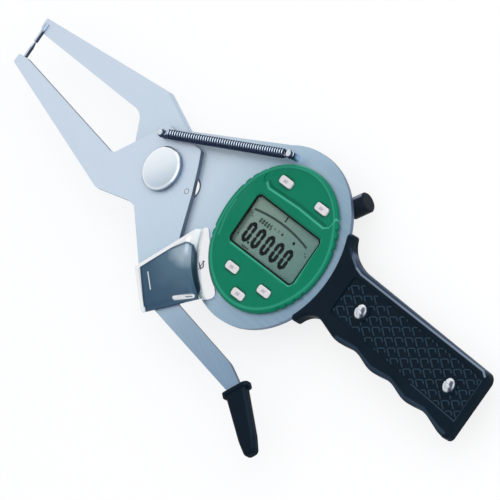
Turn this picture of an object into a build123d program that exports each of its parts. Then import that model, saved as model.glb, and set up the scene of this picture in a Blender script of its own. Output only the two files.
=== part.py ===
"""Digital outside caliper gauge: a two-jaw plate caliper with a round digital display.

Sizes are in millimetres. While the pieces are drawn, the origin is on the pivot axis at the front
face of the body plate, +X runs along the handle, +Y towards the extension spring and +Z out of the
display. The last step moves everything so that the origin is under the middle of the whole gauge.
"""

import math
import os

from build123d import *

# Heights of the sheet parts
PLATE_THICK = 1.8
ARM_LOW = 0.3
ARM_HIGH = 2.3

# Pivot
PIVOT_BORE_R = 4.0
JOURNAL_R = 5.0
JOURNAL_CLEARANCE = 0.04
CAP_R = 9.4
CAP_LOW = 2.5
CAP_HIGH = 4.5

# Round end of the body plate and the display on it
PLATE_CENTRE = (65.8, 5.0)
PLATE_R = 38.5
DISPLAY_CENTRE = (68.2, 5.0)
DISPLAY_R = 31.2
DISPLAY_BORE_R = 28.9
NECK_R = 28.82
NECK_INNER_R = 27.3
HEAD_LOW = 0.2
HEAD_HIGH = 2.0
HEAD_ROOF = 0.1
RING_R = 30.2
RING_LOW = -2.9
NECK_LOW = -2.1

# Display window and keys
LCD_W = 42.2
LCD_H = 22.3
LCD_CORNER_R = 2.4
LCD_PLACE = (1.2, 0.0)
WINDOW_HIGH = 0.9
GASKET_HIGH = 1.4
KEY_W = 7.2
KEY_H = 3.4
KEY_LOW = 1.1
KEY_HIGH = 2.5
KEY_GAP = 0.2
KEY_STEM_R = 0.7
KEY_STEM_LOW = 0.3
KEY_TRAVEL = 0.4
KEY_FLOOR = 0.6
KEY_PLACES = {
    "left_top": (-10.6, 20.9),
    "right_top": (13.0, 20.9),
    "left_low": (-8.7, -18.9),
    "middle_low": (1.9, -26.0),
    "right_low": (12.4, -18.9),
}

# Jaws and measuring pins
JAW_TIP_X = -100.2
PIN_X = -98.0
PIN_Z = 0.15
PIN_R = 0.9
CONTACT_Y = 8.75
CONTACT_GAP = 0.1

# Stop pin in its clearance hole
STOP_HOLE = (15.6, 0.6)
STOP_HOLE_R = 4.3
STOP_PIN = (16.8, -1.2)
STOP_PIN_R = 1.9

# Extension spring
ARM_POST = (-9.5, 11.4)
PLATE_POST = (53.5, 35.7)
SPRING_Z = 4.6
SPRING_R = 1.95
SPRING_WIRE_R = 0.33
POST_R = 1.6
POST_HIGH = 6.2

# Measuring spindle, on an axis that leans 52 degrees from the length of the gauge
SPINDLE_ANGLE = 52.0
SPINDLE_OFFSET = 2.0
SPINDLE_Z = -6.3
SPINDLE_R = 2.0
BUSH_BORE_R = 2.03
BUSH_R = 2.6
STEM_R = 4.0
ANVIL_FACE = -47.5
SPINDLE_FRONT = -42.0
SPINDLE_REAR = 34.0
BALL_R = 1.5
CAP_END = 41.4
STUB_R = 4.25

# Opening of the jaws
SWING_MAX_DEG = 6.5

# Indicator case behind the plate
CASE_R = 32.4
CASE_INNER_R = 30.7
CASE_SHOULDER = -4.0
CASE_LOW = -12.6
CASE_LOW_R = 27.0
CASE_LOW_INNER_R = 25.4
COVER_LOW = -14.2
EAR_RADIUS = 34.8
EAR_ANGLES = (100, 175, 280)
EAR_LOW = -4.8
HUB_R = 3.5
BOSS_RADIUS = 23.0
BOSS_ANGLES = (10, 100, 190, 280)
BATTERY_OFFSET = -15.0
BATTERY_R = 5.8
BOARD_LOW = -11.0

# Guard over the contact
GUARD_SHEET = 0.8
GUARD_INNER_R = 31.9
GUARD_STEP_R = 37.6
GUARD_RISE_LOW = 2.6
GUARD_HAT = 1.2
GUARD_LIP = 0.65
GUARD_CORNERS = ((35.3, -6.9), (17.5, -37.4), (34.2, -50.2), (60.1, -27.6))
GUARD_SCREW = (44.2, -20.9)

# Handle
HANDLE_END_X = 203.2
HANDLE_ARC_R = 38.7
HORN_TIP_R = 1.6
HORN_HIGH_DEG = 27.9
HORN_LOW_DEG = -28.6
SCALE_SPLIT = -0.9
FRONT_ROUNDING = 1.4
REAR_BEVEL = 1.2
SCALE_FRONT = 2.2
SCALE_REAR = -3.8
NUT_DEPTH = 1.4
RIDGE_COUNT = 4
RIDGE_PITCH = 23.5
RIDGE_FIRST_X = 125.7
HANDLE_SCREWS = ((128.8, 3.2), (188.6, 1.5))

# Lever grip
GRIP_START = (97.2, -50.9)
GRIP_ANGLE = -32.7
GRIP_LENGTH = 31.5
GRIP_HALF_THICK = 2.4
GRIP_ROUNDING = 1.7

nodes = {}


def outline(points, radii):
    """A closed flat face with one corner radius for each point."""
    return make_face(FilletPolyline(*points, radius=radii, close=True))


def slab(face, low, high):
    """A flat face given thickness between two heights."""
    return extrude(Pos(0, 0, low) * face, amount=high - low)


def disc(centre, radius, low, high):
    """A round plate between two heights."""
    return Pos(centre[0], centre[1], (low + high) / 2) * Cylinder(radius, high - low)


def turned(centre, profile):
    """A turned piece about an upright axis, from points given as radius and height."""
    face = Plane.XZ * make_face(Polyline(*profile, close=True))
    return Pos(centre[0], centre[1], 0) * revolve(face, axis=Axis.Z)


def polar(centre, radius, degrees):
    """The point at a radius and an angle from a centre."""
    turn = math.radians(degrees)
    return (centre[0] + radius * math.cos(turn), centre[1] + radius * math.sin(turn))


# Spindle frame: local Z runs up the spindle, away from the jaws
lean = math.radians(SPINDLE_ANGLE)
ALONG = (math.cos(lean), math.sin(lean))
ACROSS = (-math.sin(lean), math.cos(lean))
SPINDLE_FOOT = tuple(DISPLAY_CENTRE[i] + SPINDLE_OFFSET * ACROSS[i] for i in (0, 1))
spindle_frame = Plane(
    origin=(SPINDLE_FOOT[0], SPINDLE_FOOT[1], SPINDLE_Z),
    x_dir=(ACROSS[0], ACROSS[1], 0),
    z_dir=(ALONG[0], ALONG[1], 0),
)


def rod(radius, start, end):
    """A round bar along the spindle axis."""
    return spindle_frame * Pos(0, 0, (start + end) / 2) * Cylinder(radius, end - start)


def block(start, end, side_low, side_high, low, high):
    """A block lined up with the spindle: along it, across it and in height."""
    size = Box(end - start, side_high - side_low, high - low)
    middle = Pos((start + end) / 2, (side_low + side_high) / 2, (low + high) / 2)
    return Pos(SPINDLE_FOOT[0], SPINDLE_FOOT[1], 0) * Rot(0, 0, SPINDLE_ANGLE) * middle * size


# Travel of the spindle while the jaws open: the pivot stands this far from the spindle axis
PIVOT_SIDE = -(SPINDLE_FOOT[0] * ACROSS[0] + SPINDLE_FOOT[1] * ACROSS[1])
PIVOT_ALONG = -(SPINDLE_FOOT[0] * ALONG[0] + SPINDLE_FOOT[1] * ALONG[1])
swing = math.radians(SWING_MAX_DEG)
SPINDLE_TRAVEL = PIVOT_SIDE * math.tan(swing) + (ANVIL_FACE - PIVOT_ALONG) * (1 / math.cos(swing) - 1)
SPINDLE_RATIO = SPINDLE_TRAVEL / swing


# Body plate with the fixed jaw, the round end and the tang
def make_body_plate():
    jaw_and_web = outline(
        [(JAW_TIP_X, 19.4), (JAW_TIP_X, 15.1), (-96.5, 13.4), (-29.6, 12.5), (-23.0, 1.6),
         (-20.0, -8.0), (-10.0, -15.5), (2.0, -17.6), (18.0, -19.3), (36.0, -17.0), (66.0, 5.0),
         (51.3, 40.4), (-1.7, 18.5), (-22.0, 25.8)],
        [0.8, 1.0, 2.0, 6.5, 8.0, 6.0, 8.0, 10.0, 10.0, 0.0, 0.0, 0.0, 4.0, 3.0],
    )
    tang = outline([(95, -8), (196, -10), (196, 12), (95, 13)], [0.0, 3.0, 3.0, 0.0])
    face = jaw_and_web + Pos(*PLATE_CENTRE) * Circle(PLATE_R) + tang
    face -= Pos(*DISPLAY_CENTRE) * Circle(DISPLAY_BORE_R)
    face -= Circle(PIVOT_BORE_R)
    face -= Pos(*STOP_HOLE) * Circle(STOP_HOLE_R)
    for x, y in HANDLE_SCREWS:
        face -= Pos(x, y) * Circle(2.0)
    plate = slab(face, -PLATE_THICK, 0)
    plate -= disc(PLATE_POST, 1.2, -1.8, 0)
    plate -= disc(GUARD_SCREW, 1.0, -1.6, 0)
    for angle in EAR_ANGLES:
        plate -= disc(polar(DISPLAY_CENTRE, EAR_RADIUS, angle), 1.1, -PLATE_THICK, -0.4)
    return plate - pin_bar(CONTACT_Y, 17.6)


def pin_bar(start, end):
    """A round bar along Y at the measuring pins."""
    return Pos(PIN_X, (start + end) / 2, PIN_Z) * Rot(90, 0, 0) * Cylinder(PIN_R, end - start)


def make_fixed_pin():
    pin = pin_bar(CONTACT_Y + CONTACT_GAP / 2, 17.6)
    return chamfer(pin.edges().sort_by(Axis.Y)[0], 0.25)


def make_moving_pin():
    low, neck, tip = -3.0, 6.4, CONTACT_Y - CONTACT_GAP / 2
    ball_r = 0.55
    half = [(0, low), (PIN_R, low), (PIN_R, neck), (ball_r, tip - ball_r), (0, tip - ball_r)]
    body = revolve(make_face(Polyline(*half, close=True)), axis=Axis.Y)
    return Pos(PIN_X, 0, PIN_Z) * (body + Pos(0, tip - ball_r, 0) * Sphere(ball_r))


# Moving arm: jaw, hub and lever cut from one sheet
def make_moving_arm():
    tongue_end = polar(GRIP_START, 19.0, GRIP_ANGLE)
    side = (math.sin(math.radians(-GRIP_ANGLE)) * 2.4, math.cos(math.radians(-GRIP_ANGLE)) * 2.4)
    points = [
        (-100.0, -2.4), (-99.8, 1.5), (-94.8, 1.9), (-27.6, -7.2), (-14.4, 11.2), (-12.6, 15.4),
        (10.8, 15.2), (13.9, 10.3), (19.9, -0.8), (27.8, -18.0), (44.5, -38.3), (87.2, -44.4),
        (GRIP_START[0] + side[0], GRIP_START[1] + side[1]),
        (tongue_end[0] + side[0], tongue_end[1] + side[1]),
        (tongue_end[0] - side[0], tongue_end[1] - side[1]),
        (GRIP_START[0] - side[0], GRIP_START[1] - side[1]),
        (93.6, -53.7), (28.2, -44.9), (-2.2, -18.5), (-6.3, -18.2), (-24.8, -22.1),
    ]
    radii = [0.8, 0.8, 2.0, 3.5, 2.0, 3.0, 1.5, 3.0, 20.0, 20.0, 8.0, 14.0, 0.0, 1.5, 1.5, 0.0,
             0.0, 12.0, 1.6, 1.6, 3.5]
    arm = slab(outline(points, radii), ARM_LOW, ARM_HIGH)
    arm -= disc((0, 0), JOURNAL_R + JOURNAL_CLEARANCE, ARM_LOW, ARM_HIGH)
    arm -= disc(ARM_POST, 1.2, ARM_LOW, ARM_HIGH)
    arm -= disc(STOP_PIN, 1.2, ARM_LOW, ARM_HIGH)
    for side_shift in (-2.0, 2.0):
        arm -= anvil_rivet(side_shift)
    return arm - pin_bar(-3.0, 4.0)


def anvil_rivet(side_shift):
    """One of the two rivet stems that hold the anvil under the arm."""
    x = SPINDLE_FOOT[0] + (ANVIL_FACE - 2.6) * ALONG[0] + side_shift * ACROSS[0]
    y = SPINDLE_FOOT[1] + (ANVIL_FACE - 2.6) * ALONG[1] + side_shift * ACROSS[1]
    return disc((x, y), 1.0, ARM_LOW, ARM_HIGH)


def make_anvil():
    anvil = block(ANVIL_FACE - 5.0, ANVIL_FACE, -3.6, 3.6, SPINDLE_Z - 2.6, ARM_LOW)
    anvil -= block(ANVIL_FACE - 5.0, ANVIL_FACE - 3.0, -3.6, 3.6, SPINDLE_Z - 2.6, SPINDLE_Z + 2.0)
    return anvil + anvil_rivet(-2.0) + anvil_rivet(2.0)


def make_stop_pin():
    return turned(STOP_PIN, [(0, -1.5), (STOP_PIN_R, -1.5), (STOP_PIN_R, ARM_LOW), (1.2, ARM_LOW),
                             (1.2, ARM_HIGH), (0, ARM_HIGH)])


# Pivot
def make_pivot_pin():
    pin = turned((0, 0), [(0, -5.3), (3.0, -5.3), (3.0, -PLATE_THICK), (PIVOT_BORE_R, -PLATE_THICK),
                          (PIVOT_BORE_R, 0), (JOURNAL_R, 0), (JOURNAL_R, CAP_LOW), (0, CAP_LOW)])
    return pin - disc((0, 0), 1.5, 0.5, CAP_LOW)


def make_pivot_cap():
    return turned((0, 0), [(0, 0.5), (1.5, 0.5), (1.5, CAP_LOW), (CAP_R, CAP_LOW),
                           (CAP_R, CAP_HIGH - 0.6), (CAP_R - 0.7, CAP_HIGH), (0, CAP_HIGH)])


def make_pivot_washers():
    between = disc((0, 0), 9.0, 0, ARM_LOW) - disc((0, 0), JOURNAL_R, 0, ARM_LOW)
    rear = disc((0, 0), 7.0, -2.2, -PLATE_THICK) - disc((0, 0), 3.0, -2.2, -PLATE_THICK)
    return Compound([between.solid(), rear.solid()])


def make_pivot_nut():
    hexagon = RegularPolygon(7.0, 6) - Circle(3.0)
    nut = slab(hexagon, -4.9, -2.2)
    dome = turned((0, 0), [(0, -4.9), (5.6, -4.9), (7.4, -4.2), (7.4, -2.2), (0, -2.2)])
    return nut & dome


# Spring and its two posts
def make_post(place, foot, seat):
    """A grooved post: a stem in the sheet, a collar, a neck for the spring hook and a head."""
    return turned(place, [(0, foot), (1.2, foot), (1.2, seat), (POST_R, seat), (POST_R, SPRING_Z - 0.7),
                          (1.0, SPRING_Z - 0.4), (1.0, SPRING_Z + 0.4), (POST_R, SPRING_Z + 0.8),
                          (POST_R, POST_HIGH - 0.4), (POST_R - 0.4, POST_HIGH), (0, POST_HIGH)])


def ring(inner_r, outer_r, half_thick):
    """A flat ring about the origin."""
    return Cylinder(outer_r, 2 * half_thick) - Cylinder(inner_r, 2 * half_thick)


def make_spring():
    """The close-wound body as one ribbed tube, with a hook ring round each post."""
    span = math.dist(ARM_POST, PLATE_POST)
    angle = math.degrees(math.atan2(PLATE_POST[1] - ARM_POST[1], PLATE_POST[0] - ARM_POST[0]))
    hook_r = 1.0 + SPRING_WIRE_R + 0.05
    start = hook_r + SPRING_WIRE_R
    rib_count = 15
    pitch = (span - 2 * start) / rib_count
    rim = [(start + i * pitch / 2, SPRING_R - (0.35 if i % 2 else 0.0)) for i in range(2 * rib_count + 1)]
    core_r = SPRING_R - 2 * SPRING_WIRE_R
    section = [(start, core_r)] + rim + [(span - start, core_r)]
    coil = revolve(make_face(Polyline(*section, close=True)), axis=Axis.X)
    hook = ring(hook_r - SPRING_WIRE_R, hook_r + SPRING_WIRE_R, SPRING_WIRE_R)
    leg = Pos(start + 0.2, 0, 0) * Rot(0, 90, 0) * Cylinder(core_r + 0.1, 0.5)
    end_leg = Pos(span - start - 0.2, 0, 0) * Rot(0, 90, 0) * Cylinder(core_r + 0.1, 0.5)
    whole = coil + leg + end_leg + hook + Pos(span, 0, 0) * hook
    return Pos(ARM_POST[0], ARM_POST[1], SPRING_Z) * Rot(0, 0, angle) * whole


# Guard: a pressed sheet cover that steps up from the plate and bridges the arm
def make_guard():
    top = GUARD_RISE_LOW + GUARD_SHEET
    section = [
        (GUARD_INNER_R, 0), (GUARD_STEP_R, 0), (GUARD_STEP_R + 1.3, GUARD_RISE_LOW), (70, GUARD_RISE_LOW),
        (70, top), (GUARD_STEP_R + 0.8, top), (GUARD_STEP_R - 0.5, GUARD_SHEET), (GUARD_INNER_R, GUARD_SHEET),
    ]
    sheet = turned(DISPLAY_CENTRE, section)
    footprint = outline(GUARD_CORNERS, [1.5, 1.0, 1.0, 2.0])
    guard = sheet & slab(footprint, -1, 8)
    hat_face = offset(footprint - Pos(*DISPLAY_CENTRE) * Circle(GUARD_STEP_R + 0.8), amount=-1.5)
    hat = extrude(Pos(0, 0, top) * hat_face, amount=GUARD_HAT, taper=40)
    hollow_face = offset(hat_face, amount=-0.5)
    hollow = extrude(Pos(0, 0, top - GUARD_SHEET) * hollow_face, amount=GUARD_HAT, taper=40)
    guard = guard + hat - hollow
    start, end = Vector(*GUARD_CORNERS[1]), Vector(*GUARD_CORNERS[2])
    run = end - start
    lip_angle = math.degrees(math.atan2(run.Y, run.X))
    lip = Pos(run.length / 2, GUARD_LIP / 2) * Rectangle(run.length - 2.0, GUARD_LIP)
    guard += slab(Pos(start.X, start.Y) * Rot(0, 0, lip_angle) * lip, 0.6, top)
    screw_seat = turned(GUARD_SCREW, [(0, -0.1), (1.25, -0.1), (1.25, 0.0), (2.05, GUARD_SHEET), (0, GUARD_SHEET)])
    return guard - screw_seat


def make_guard_screw():
    screw = turned(GUARD_SCREW, [(0, -1.6), (1.0, -1.6), (1.0, 0), (1.25, 0), (2.0, GUARD_SHEET - 0.05),
                                 (0, GUARD_SHEET - 0.05)])
    return screw - Pos(GUARD_SCREW[0], GUARD_SCREW[1], GUARD_SHEET) * Box(0.6, 5, 0.6)


# Handle: two moulded scales that clamp the tang
def horn_tip(degrees, side):
    """The inner end, the middle and the outer end of the round tip of one horn."""
    centre = polar(PLATE_CENTRE, HANDLE_ARC_R + HORN_TIP_R, degrees)
    inner = polar(PLATE_CENTRE, HANDLE_ARC_R, degrees)
    outer = polar(PLATE_CENTRE, HANDLE_ARC_R + 2 * HORN_TIP_R, degrees)
    return inner, polar(centre, HORN_TIP_R, degrees + side * 90), outer


def handle_face():
    """The scale outline: horns that hug the round end, a straight back and a wavy finger edge."""
    high_inner, high_middle, high_outer = horn_tip(HORN_HIGH_DEG, 1)
    low_inner, low_middle, low_outer = horn_tip(HORN_LOW_DEG, -1)
    corners = [low_outer, polar(low_outer, 8.7, HORN_LOW_DEG + 90)]
    for k in range(RIDGE_COUNT):
        x = RIDGE_FIRST_X + k * RIDGE_PITCH
        corners.append((x, -12.2 - 0.05 * k * RIDGE_PITCH))
        corners.append((x + RIDGE_PITCH / 2, -9.6 - 0.05 * (k + 0.5) * RIDGE_PITCH))
    corners[-1] = (202.7, -16.6)
    corners += [(HANDLE_END_X, 14.92), (118.5, 16.6)]
    radii = [10.0] + [18.0] * (2 * RIDGE_COUNT - 2) + [10.0, 2.5, 4.0]
    high_lean = math.radians(HORN_HIGH_DEG + 90)
    edges = [
        FilletPolyline(*corners, radius=radii),
        Spline((118.5, 16.6), (110.6, 18.1), high_outer,
               tangents=((-1, 0.02), (math.cos(high_lean), math.sin(high_lean)))),
        ThreePointArc(high_outer, high_middle, high_inner),
        ThreePointArc(high_inner, (PLATE_CENTRE[0] + HANDLE_ARC_R, PLATE_CENTRE[1]), low_inner),
        ThreePointArc(low_inner, low_middle, low_outer),
    ]
    return make_face(edges)


def make_front_scale():
    face = handle_face()
    scale = slab(face, SCALE_SPLIT, SCALE_FRONT)
    scale = fillet(scale.faces().sort_by(Axis.Z)[-1].edges(), FRONT_ROUNDING)
    panel = outline([(115.6, 13.1), (201.4, 12.0), (201.4, -8.3), (115.2, -4.7)], [2.0, 3.0, 2.0, 2.0])
    scale -= slab(panel, SCALE_FRONT - 0.4, SCALE_FRONT)
    scale -= nodes["body_plate"]
    for x, y in HANDLE_SCREWS:
        scale -= disc((x, y), 2.0, -2, SCALE_FRONT)
        scale -= disc((x, y), 3.5, SCALE_FRONT - 1.4, SCALE_FRONT)
        scale += disc((x, y), 4.4, SCALE_FRONT - 0.5, SCALE_FRONT - 0.1) - disc((x, y), 3.5, 0, SCALE_FRONT)
    return scale


def make_rear_scale():
    scale = slab(handle_face(), SCALE_REAR, SCALE_SPLIT)
    scale = chamfer(scale.faces().sort_by(Axis.Z)[0].edges(), REAR_BEVEL)
    scale -= nodes["body_plate"]
    for x, y in HANDLE_SCREWS:
        scale -= disc((x, y), 2.0, SCALE_REAR, SCALE_SPLIT)
        scale -= disc((x, y), 3.4, SCALE_REAR, SCALE_REAR + NUT_DEPTH)
    return scale


def make_handle_screws():
    screws = []
    for x, y in HANDLE_SCREWS:
        seat = SCALE_FRONT - 1.4
        screw = turned((x, y), [(0, SCALE_REAR + 0.2), (2.0, SCALE_REAR + 0.2), (2.0, seat), (3.4, seat), (3.4, SCALE_FRONT - 0.1),
                                (2.6, SCALE_FRONT + 0.4), (0, SCALE_FRONT + 0.6)])
        screw -= Pos(x, y, SCALE_FRONT + 0.5) * Rot(0, 0, 70) * Box(0.9, 8, 1.4)
        screws.append(screw.solid())
    return Compound(screws)


def make_handle_nuts():
    nuts = []
    for x, y in HANDLE_SCREWS:
        nut = disc((x, y), 3.4, SCALE_REAR, SCALE_REAR + NUT_DEPTH) - disc((x, y), 2.0, SCALE_REAR, 0)
        nuts.append((nut - Pos(x, y, SCALE_REAR) * Box(0.9, 8, 1.2)).solid())
    return Compound(nuts)


# Lever grip: a rubber sleeve with a collar
def make_lever_grip():
    """A flat sleeve with full round edges that narrows to its tip, and an oval collar."""
    sleeve = outline([(1.0, 4.9), (24.0, 3.8), (GRIP_LENGTH, 2.6), (GRIP_LENGTH, -2.6), (24.0, -3.8), (1.0, -4.9)],
                     [0.5, 20.0, 2.2, 2.2, 20.0, 0.5])
    sleeve = slab(sleeve, -GRIP_HALF_THICK, GRIP_HALF_THICK)
    rims = sleeve.faces().sort_by(Axis.Z)[0].edges() + sleeve.faces().sort_by(Axis.Z)[-1].edges()
    sleeve = fillet(rims, GRIP_ROUNDING)
    collar = extrude(Plane.YZ * RectangleRounded(12.6, 5.3, 2.0), amount=1.8)
    middle = (ARM_LOW + ARM_HIGH) / 2
    grip = Pos(GRIP_START[0], GRIP_START[1], middle) * Rot(0, 0, GRIP_ANGLE) * (collar + sleeve)
    return grip - nodes["moving_arm"]


# Display head: it turns in the bore of the plate
def local(x, y):
    """A place on the display head, from its centre."""
    return (DISPLAY_CENTRE[0] + x, DISPLAY_CENTRE[1] + y)


def rounded(width, height, radius, low, high, place=(0, 0)):
    """A block with rounded corners on the display head."""
    return slab(Pos(*local(*place)) * RectangleRounded(width, height, radius), low, high)


def make_display_housing():
    shell = turned(DISPLAY_CENTRE, [
        (0, HEAD_ROOF), (NECK_INNER_R, HEAD_ROOF), (NECK_INNER_R, NECK_LOW), (NECK_R, NECK_LOW),
        (NECK_R, HEAD_LOW), (DISPLAY_R, HEAD_LOW), (DISPLAY_R, HEAD_HIGH - 0.6),
        (DISPLAY_R - 0.7, HEAD_HIGH), (0, HEAD_HIGH),
    ])
    slope = Plane.XZ * make_face(Polyline((24.9, HEAD_HIGH), (32.5, HEAD_HIGH - 1.3), (32.5, 4), (24.9, 4), close=True))
    wedge = extrude(slope, amount=33, both=True)
    shell -= Pos(*DISPLAY_CENTRE) * wedge
    shell -= Pos(*DISPLAY_CENTRE) * Rot(0, 0, 180) * wedge
    segment = Pos(*DISPLAY_CENTRE) * (Circle(29.4) & Pos(0, 30.9) * Rectangle(44.0, 30))
    segment = fillet(segment.vertices(), 1.6)
    shell -= slab(segment, HEAD_HIGH - 0.4, HEAD_HIGH)
    shell -= rounded(LCD_W, LCD_H, LCD_CORNER_R, HEAD_ROOF, HEAD_HIGH, LCD_PLACE)
    bevel = Pos(*local(*LCD_PLACE)) * RectangleRounded(LCD_W + 1.6, LCD_H + 1.6, LCD_CORNER_R + 0.8)
    shell -= extrude(Pos(0, 0, HEAD_HIGH) * bevel, amount=-0.5, taper=50)
    for place in KEY_PLACES.values():
        shell -= rounded(KEY_W + 2 * KEY_GAP, KEY_H + 2 * KEY_GAP, 1.3, KEY_FLOOR, HEAD_HIGH, place)
        shell -= disc(local(*place), KEY_STEM_R + 0.15, HEAD_ROOF, KEY_FLOOR)
    for side in (31, 149, 211, 329):
        for step in (-1.5, -0.5, 0.5, 1.5):
            shell -= disc(polar(DISPLAY_CENTRE, DISPLAY_R + 0.5, side + 7.5 * step), 1.1, HEAD_LOW, HEAD_HIGH)
    return shell


def make_retaining_ring():
    ring = disc(DISPLAY_CENTRE, RING_R, RING_LOW, NECK_LOW)
    return ring - disc(DISPLAY_CENTRE, NECK_INNER_R - 0.4, RING_LOW, NECK_LOW)


def make_key(place):
    cap = rounded(KEY_W, KEY_H, 1.1, KEY_LOW, KEY_HIGH, place)
    cap = fillet(cap.faces().sort_by(Axis.Z)[-1].edges(), 0.35)
    return cap + disc(local(*place), KEY_STEM_R, KEY_STEM_LOW, KEY_LOW)


def make_key_mat():
    mat = disc(DISPLAY_CENTRE, NECK_INNER_R - 0.1, -0.9, -0.2)
    return mat - rounded(LCD_W + 2.4, LCD_H + 2.4, 0.5, -0.9, -0.2, LCD_PLACE)


def make_gasket():
    """The black frame that lies on the rim of the window."""
    frame = rounded(LCD_W, LCD_H, LCD_CORNER_R, WINDOW_HIGH, GASKET_HIGH, LCD_PLACE)
    return frame - rounded(LCD_W - 1.5, LCD_H - 1.5, LCD_CORNER_R - 0.75, WINDOW_HIGH, GASKET_HIGH, LCD_PLACE)


# Indicator case and what it holds
def make_case():
    case = turned(DISPLAY_CENTRE, [
        (CASE_INNER_R, -PLATE_THICK), (CASE_R, -PLATE_THICK), (CASE_R, CASE_SHOULDER),
        (CASE_LOW_R, CASE_LOW), (CASE_LOW_INNER_R, CASE_LOW), (CASE_INNER_R, CASE_SHOULDER),
    ])
    for angle in EAR_ANGLES:
        ear_place = polar(DISPLAY_CENTRE, EAR_RADIUS, angle)
        ear = disc(ear_place, 2.8, EAR_LOW, -PLATE_THICK)
        neck = Pos(*polar(DISPLAY_CENTRE, 33.0, angle)) * Rot(0, 0, angle) * Rectangle(3.6, 5.6)
        ear += slab(neck, EAR_LOW, -PLATE_THICK)
        case += ear - disc(DISPLAY_CENTRE, CASE_R - 0.5, EAR_LOW, 0)
        case -= disc(ear_place, 1.1, EAR_LOW, -PLATE_THICK)
    for angle in BOSS_ANGLES:
        place = polar(DISPLAY_CENTRE, BOSS_RADIUS, angle)
        web = Pos(*polar(DISPLAY_CENTRE, BOSS_RADIUS + 2.6, angle)) * Rot(0, 0, angle) * Rectangle(5.2, 1.6)
        case += disc(place, 2.4, CASE_LOW, -7.0) + slab(web, CASE_LOW, -10.0)
        case -= disc(place, 0.9, CASE_LOW, -8.5)
    hub = rod(HUB_R, 26.0, 38.4) - disc(DISPLAY_CENTRE, CASE_LOW_INNER_R + 2.6, -12, 0)
    hub -= disc(DISPLAY_CENTRE, CASE_INNER_R, -3.4, 0)
    case += hub
    case -= rod(BUSH_R, 26.0, 38.5)
    case -= rod(STEM_R, -40.0, -24.0)
    return case


def make_stem():
    stem = rod(STEM_R, -40.0, -27.0) - rod(BUSH_R, -40.0, -27.0)
    stem -= disc(DISPLAY_CENTRE, CASE_INNER_R, -3.4, 0)
    return chamfer(stem.edges().sort_by(Axis((0, 0, 0), (ALONG[0], ALONG[1], 0)))[0:1], 0.3)


def make_bushes():
    front = rod(BUSH_R, -40.0, -26.0) - rod(BUSH_BORE_R, -40.0, -26.0)
    rear = rod(BUSH_R, 26.4, 38.4) - rod(BUSH_BORE_R, 26.4, 38.4)
    return Compound([front.solid(), rear.solid()])


def make_spindle_cap():
    profile = [(HUB_R, 33.0), (3.9, 33.0), (STUB_R, 33.4), (STUB_R, CAP_END - 0.5), (3.8, CAP_END), (0, CAP_END),
               (0, CAP_END - 0.9), (BUSH_R, CAP_END - 0.9), (BUSH_R, 38.4), (HUB_R, 38.4)]
    return spindle_frame * revolve(Plane.XZ * make_face(Polyline(*profile, close=True)), axis=Axis.Z)


def make_contact_point():
    body = rod(1.9, -45.2, SPINDLE_FRONT) + rod(1.3, -46.4, -45.2)
    ball = spindle_frame * Pos(0, 0, ANVIL_FACE + CONTACT_GAP + BALL_R) * Sphere(BALL_R)
    return body + ball


def make_return_spring():
    return rod(2.9, 7.0, 26.4) - rod(2.3, 7.0, 26.4)


def make_scale_carrier():
    carrier = block(-10, 7, -5, 5, -9.0, -4.0)
    return carrier - rod(SPINDLE_R, -10, 7)


def board_corners():
    """The four places where posts carry the sensor board."""
    return [(along, across) for along in (-13.5, 13.5) for across in (-5.6, 5.6)]


def make_back_cover():
    cover = disc(DISPLAY_CENTRE, CASE_LOW_R, COVER_LOW, CASE_LOW)
    cover = fillet(cover.edges().sort_by(Axis.Z)[0], 0.8)
    for along, across in board_corners():
        cover += block(along - 1.3, along + 1.3, across - 1.3, across + 1.3, CASE_LOW, BOARD_LOW)
    seat = battery_place()
    cover -= disc(seat, BATTERY_R + 1.8, COVER_LOW, -12.9)
    cover -= disc(seat, BATTERY_R + 0.2, -12.9, CASE_LOW)
    for angle in BOSS_ANGLES:
        place = polar(DISPLAY_CENTRE, BOSS_RADIUS, angle)
        cover -= turned(place, [(0, COVER_LOW), (2.0, COVER_LOW), (0.9, -13.1), (0.9, CASE_LOW), (0, CASE_LOW)])
    return cover


def battery_place():
    """The middle of the coin cell, off to one side of the spindle."""
    return tuple(DISPLAY_CENTRE[i] + BATTERY_OFFSET * ACROSS[i] for i in (0, 1))


def make_cover_screws():
    screws = []
    for angle in BOSS_ANGLES:
        place = polar(DISPLAY_CENTRE, BOSS_RADIUS, angle)
        screw = turned(place, [(0, COVER_LOW + 0.15), (1.85, COVER_LOW + 0.15), (0.9, -13.1), (0.9, -9.0), (0, -9.0)])
        slot = Pos(place[0], place[1], COVER_LOW) * Rot(0, 0, angle) * Box(5, 0.5, 0.9)
        screws.append((screw - slot).solid())
    return Compound(screws)


def make_case_screws():
    screws = []
    for angle in EAR_ANGLES:
        place = polar(DISPLAY_CENTRE, EAR_RADIUS, angle)
        screw = turned(place, [(0, -6.4), (1.9, -6.4), (1.9, EAR_LOW), (1.1, EAR_LOW), (1.1, -0.5), (0, -0.5)])
        screws.append((screw - Pos(place[0], place[1], -6.4) * Box(5, 0.6, 1.2)).solid())
    return Compound(screws)


def make_battery_cover():
    cover = disc(battery_place(), BATTERY_R + 1.7, COVER_LOW, -12.9)
    cover = chamfer(cover.edges().sort_by(Axis.Z)[0], 0.3)
    return cover - Pos(*battery_place(), COVER_LOW) * Box(9, 1.4, 1.4)


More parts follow.
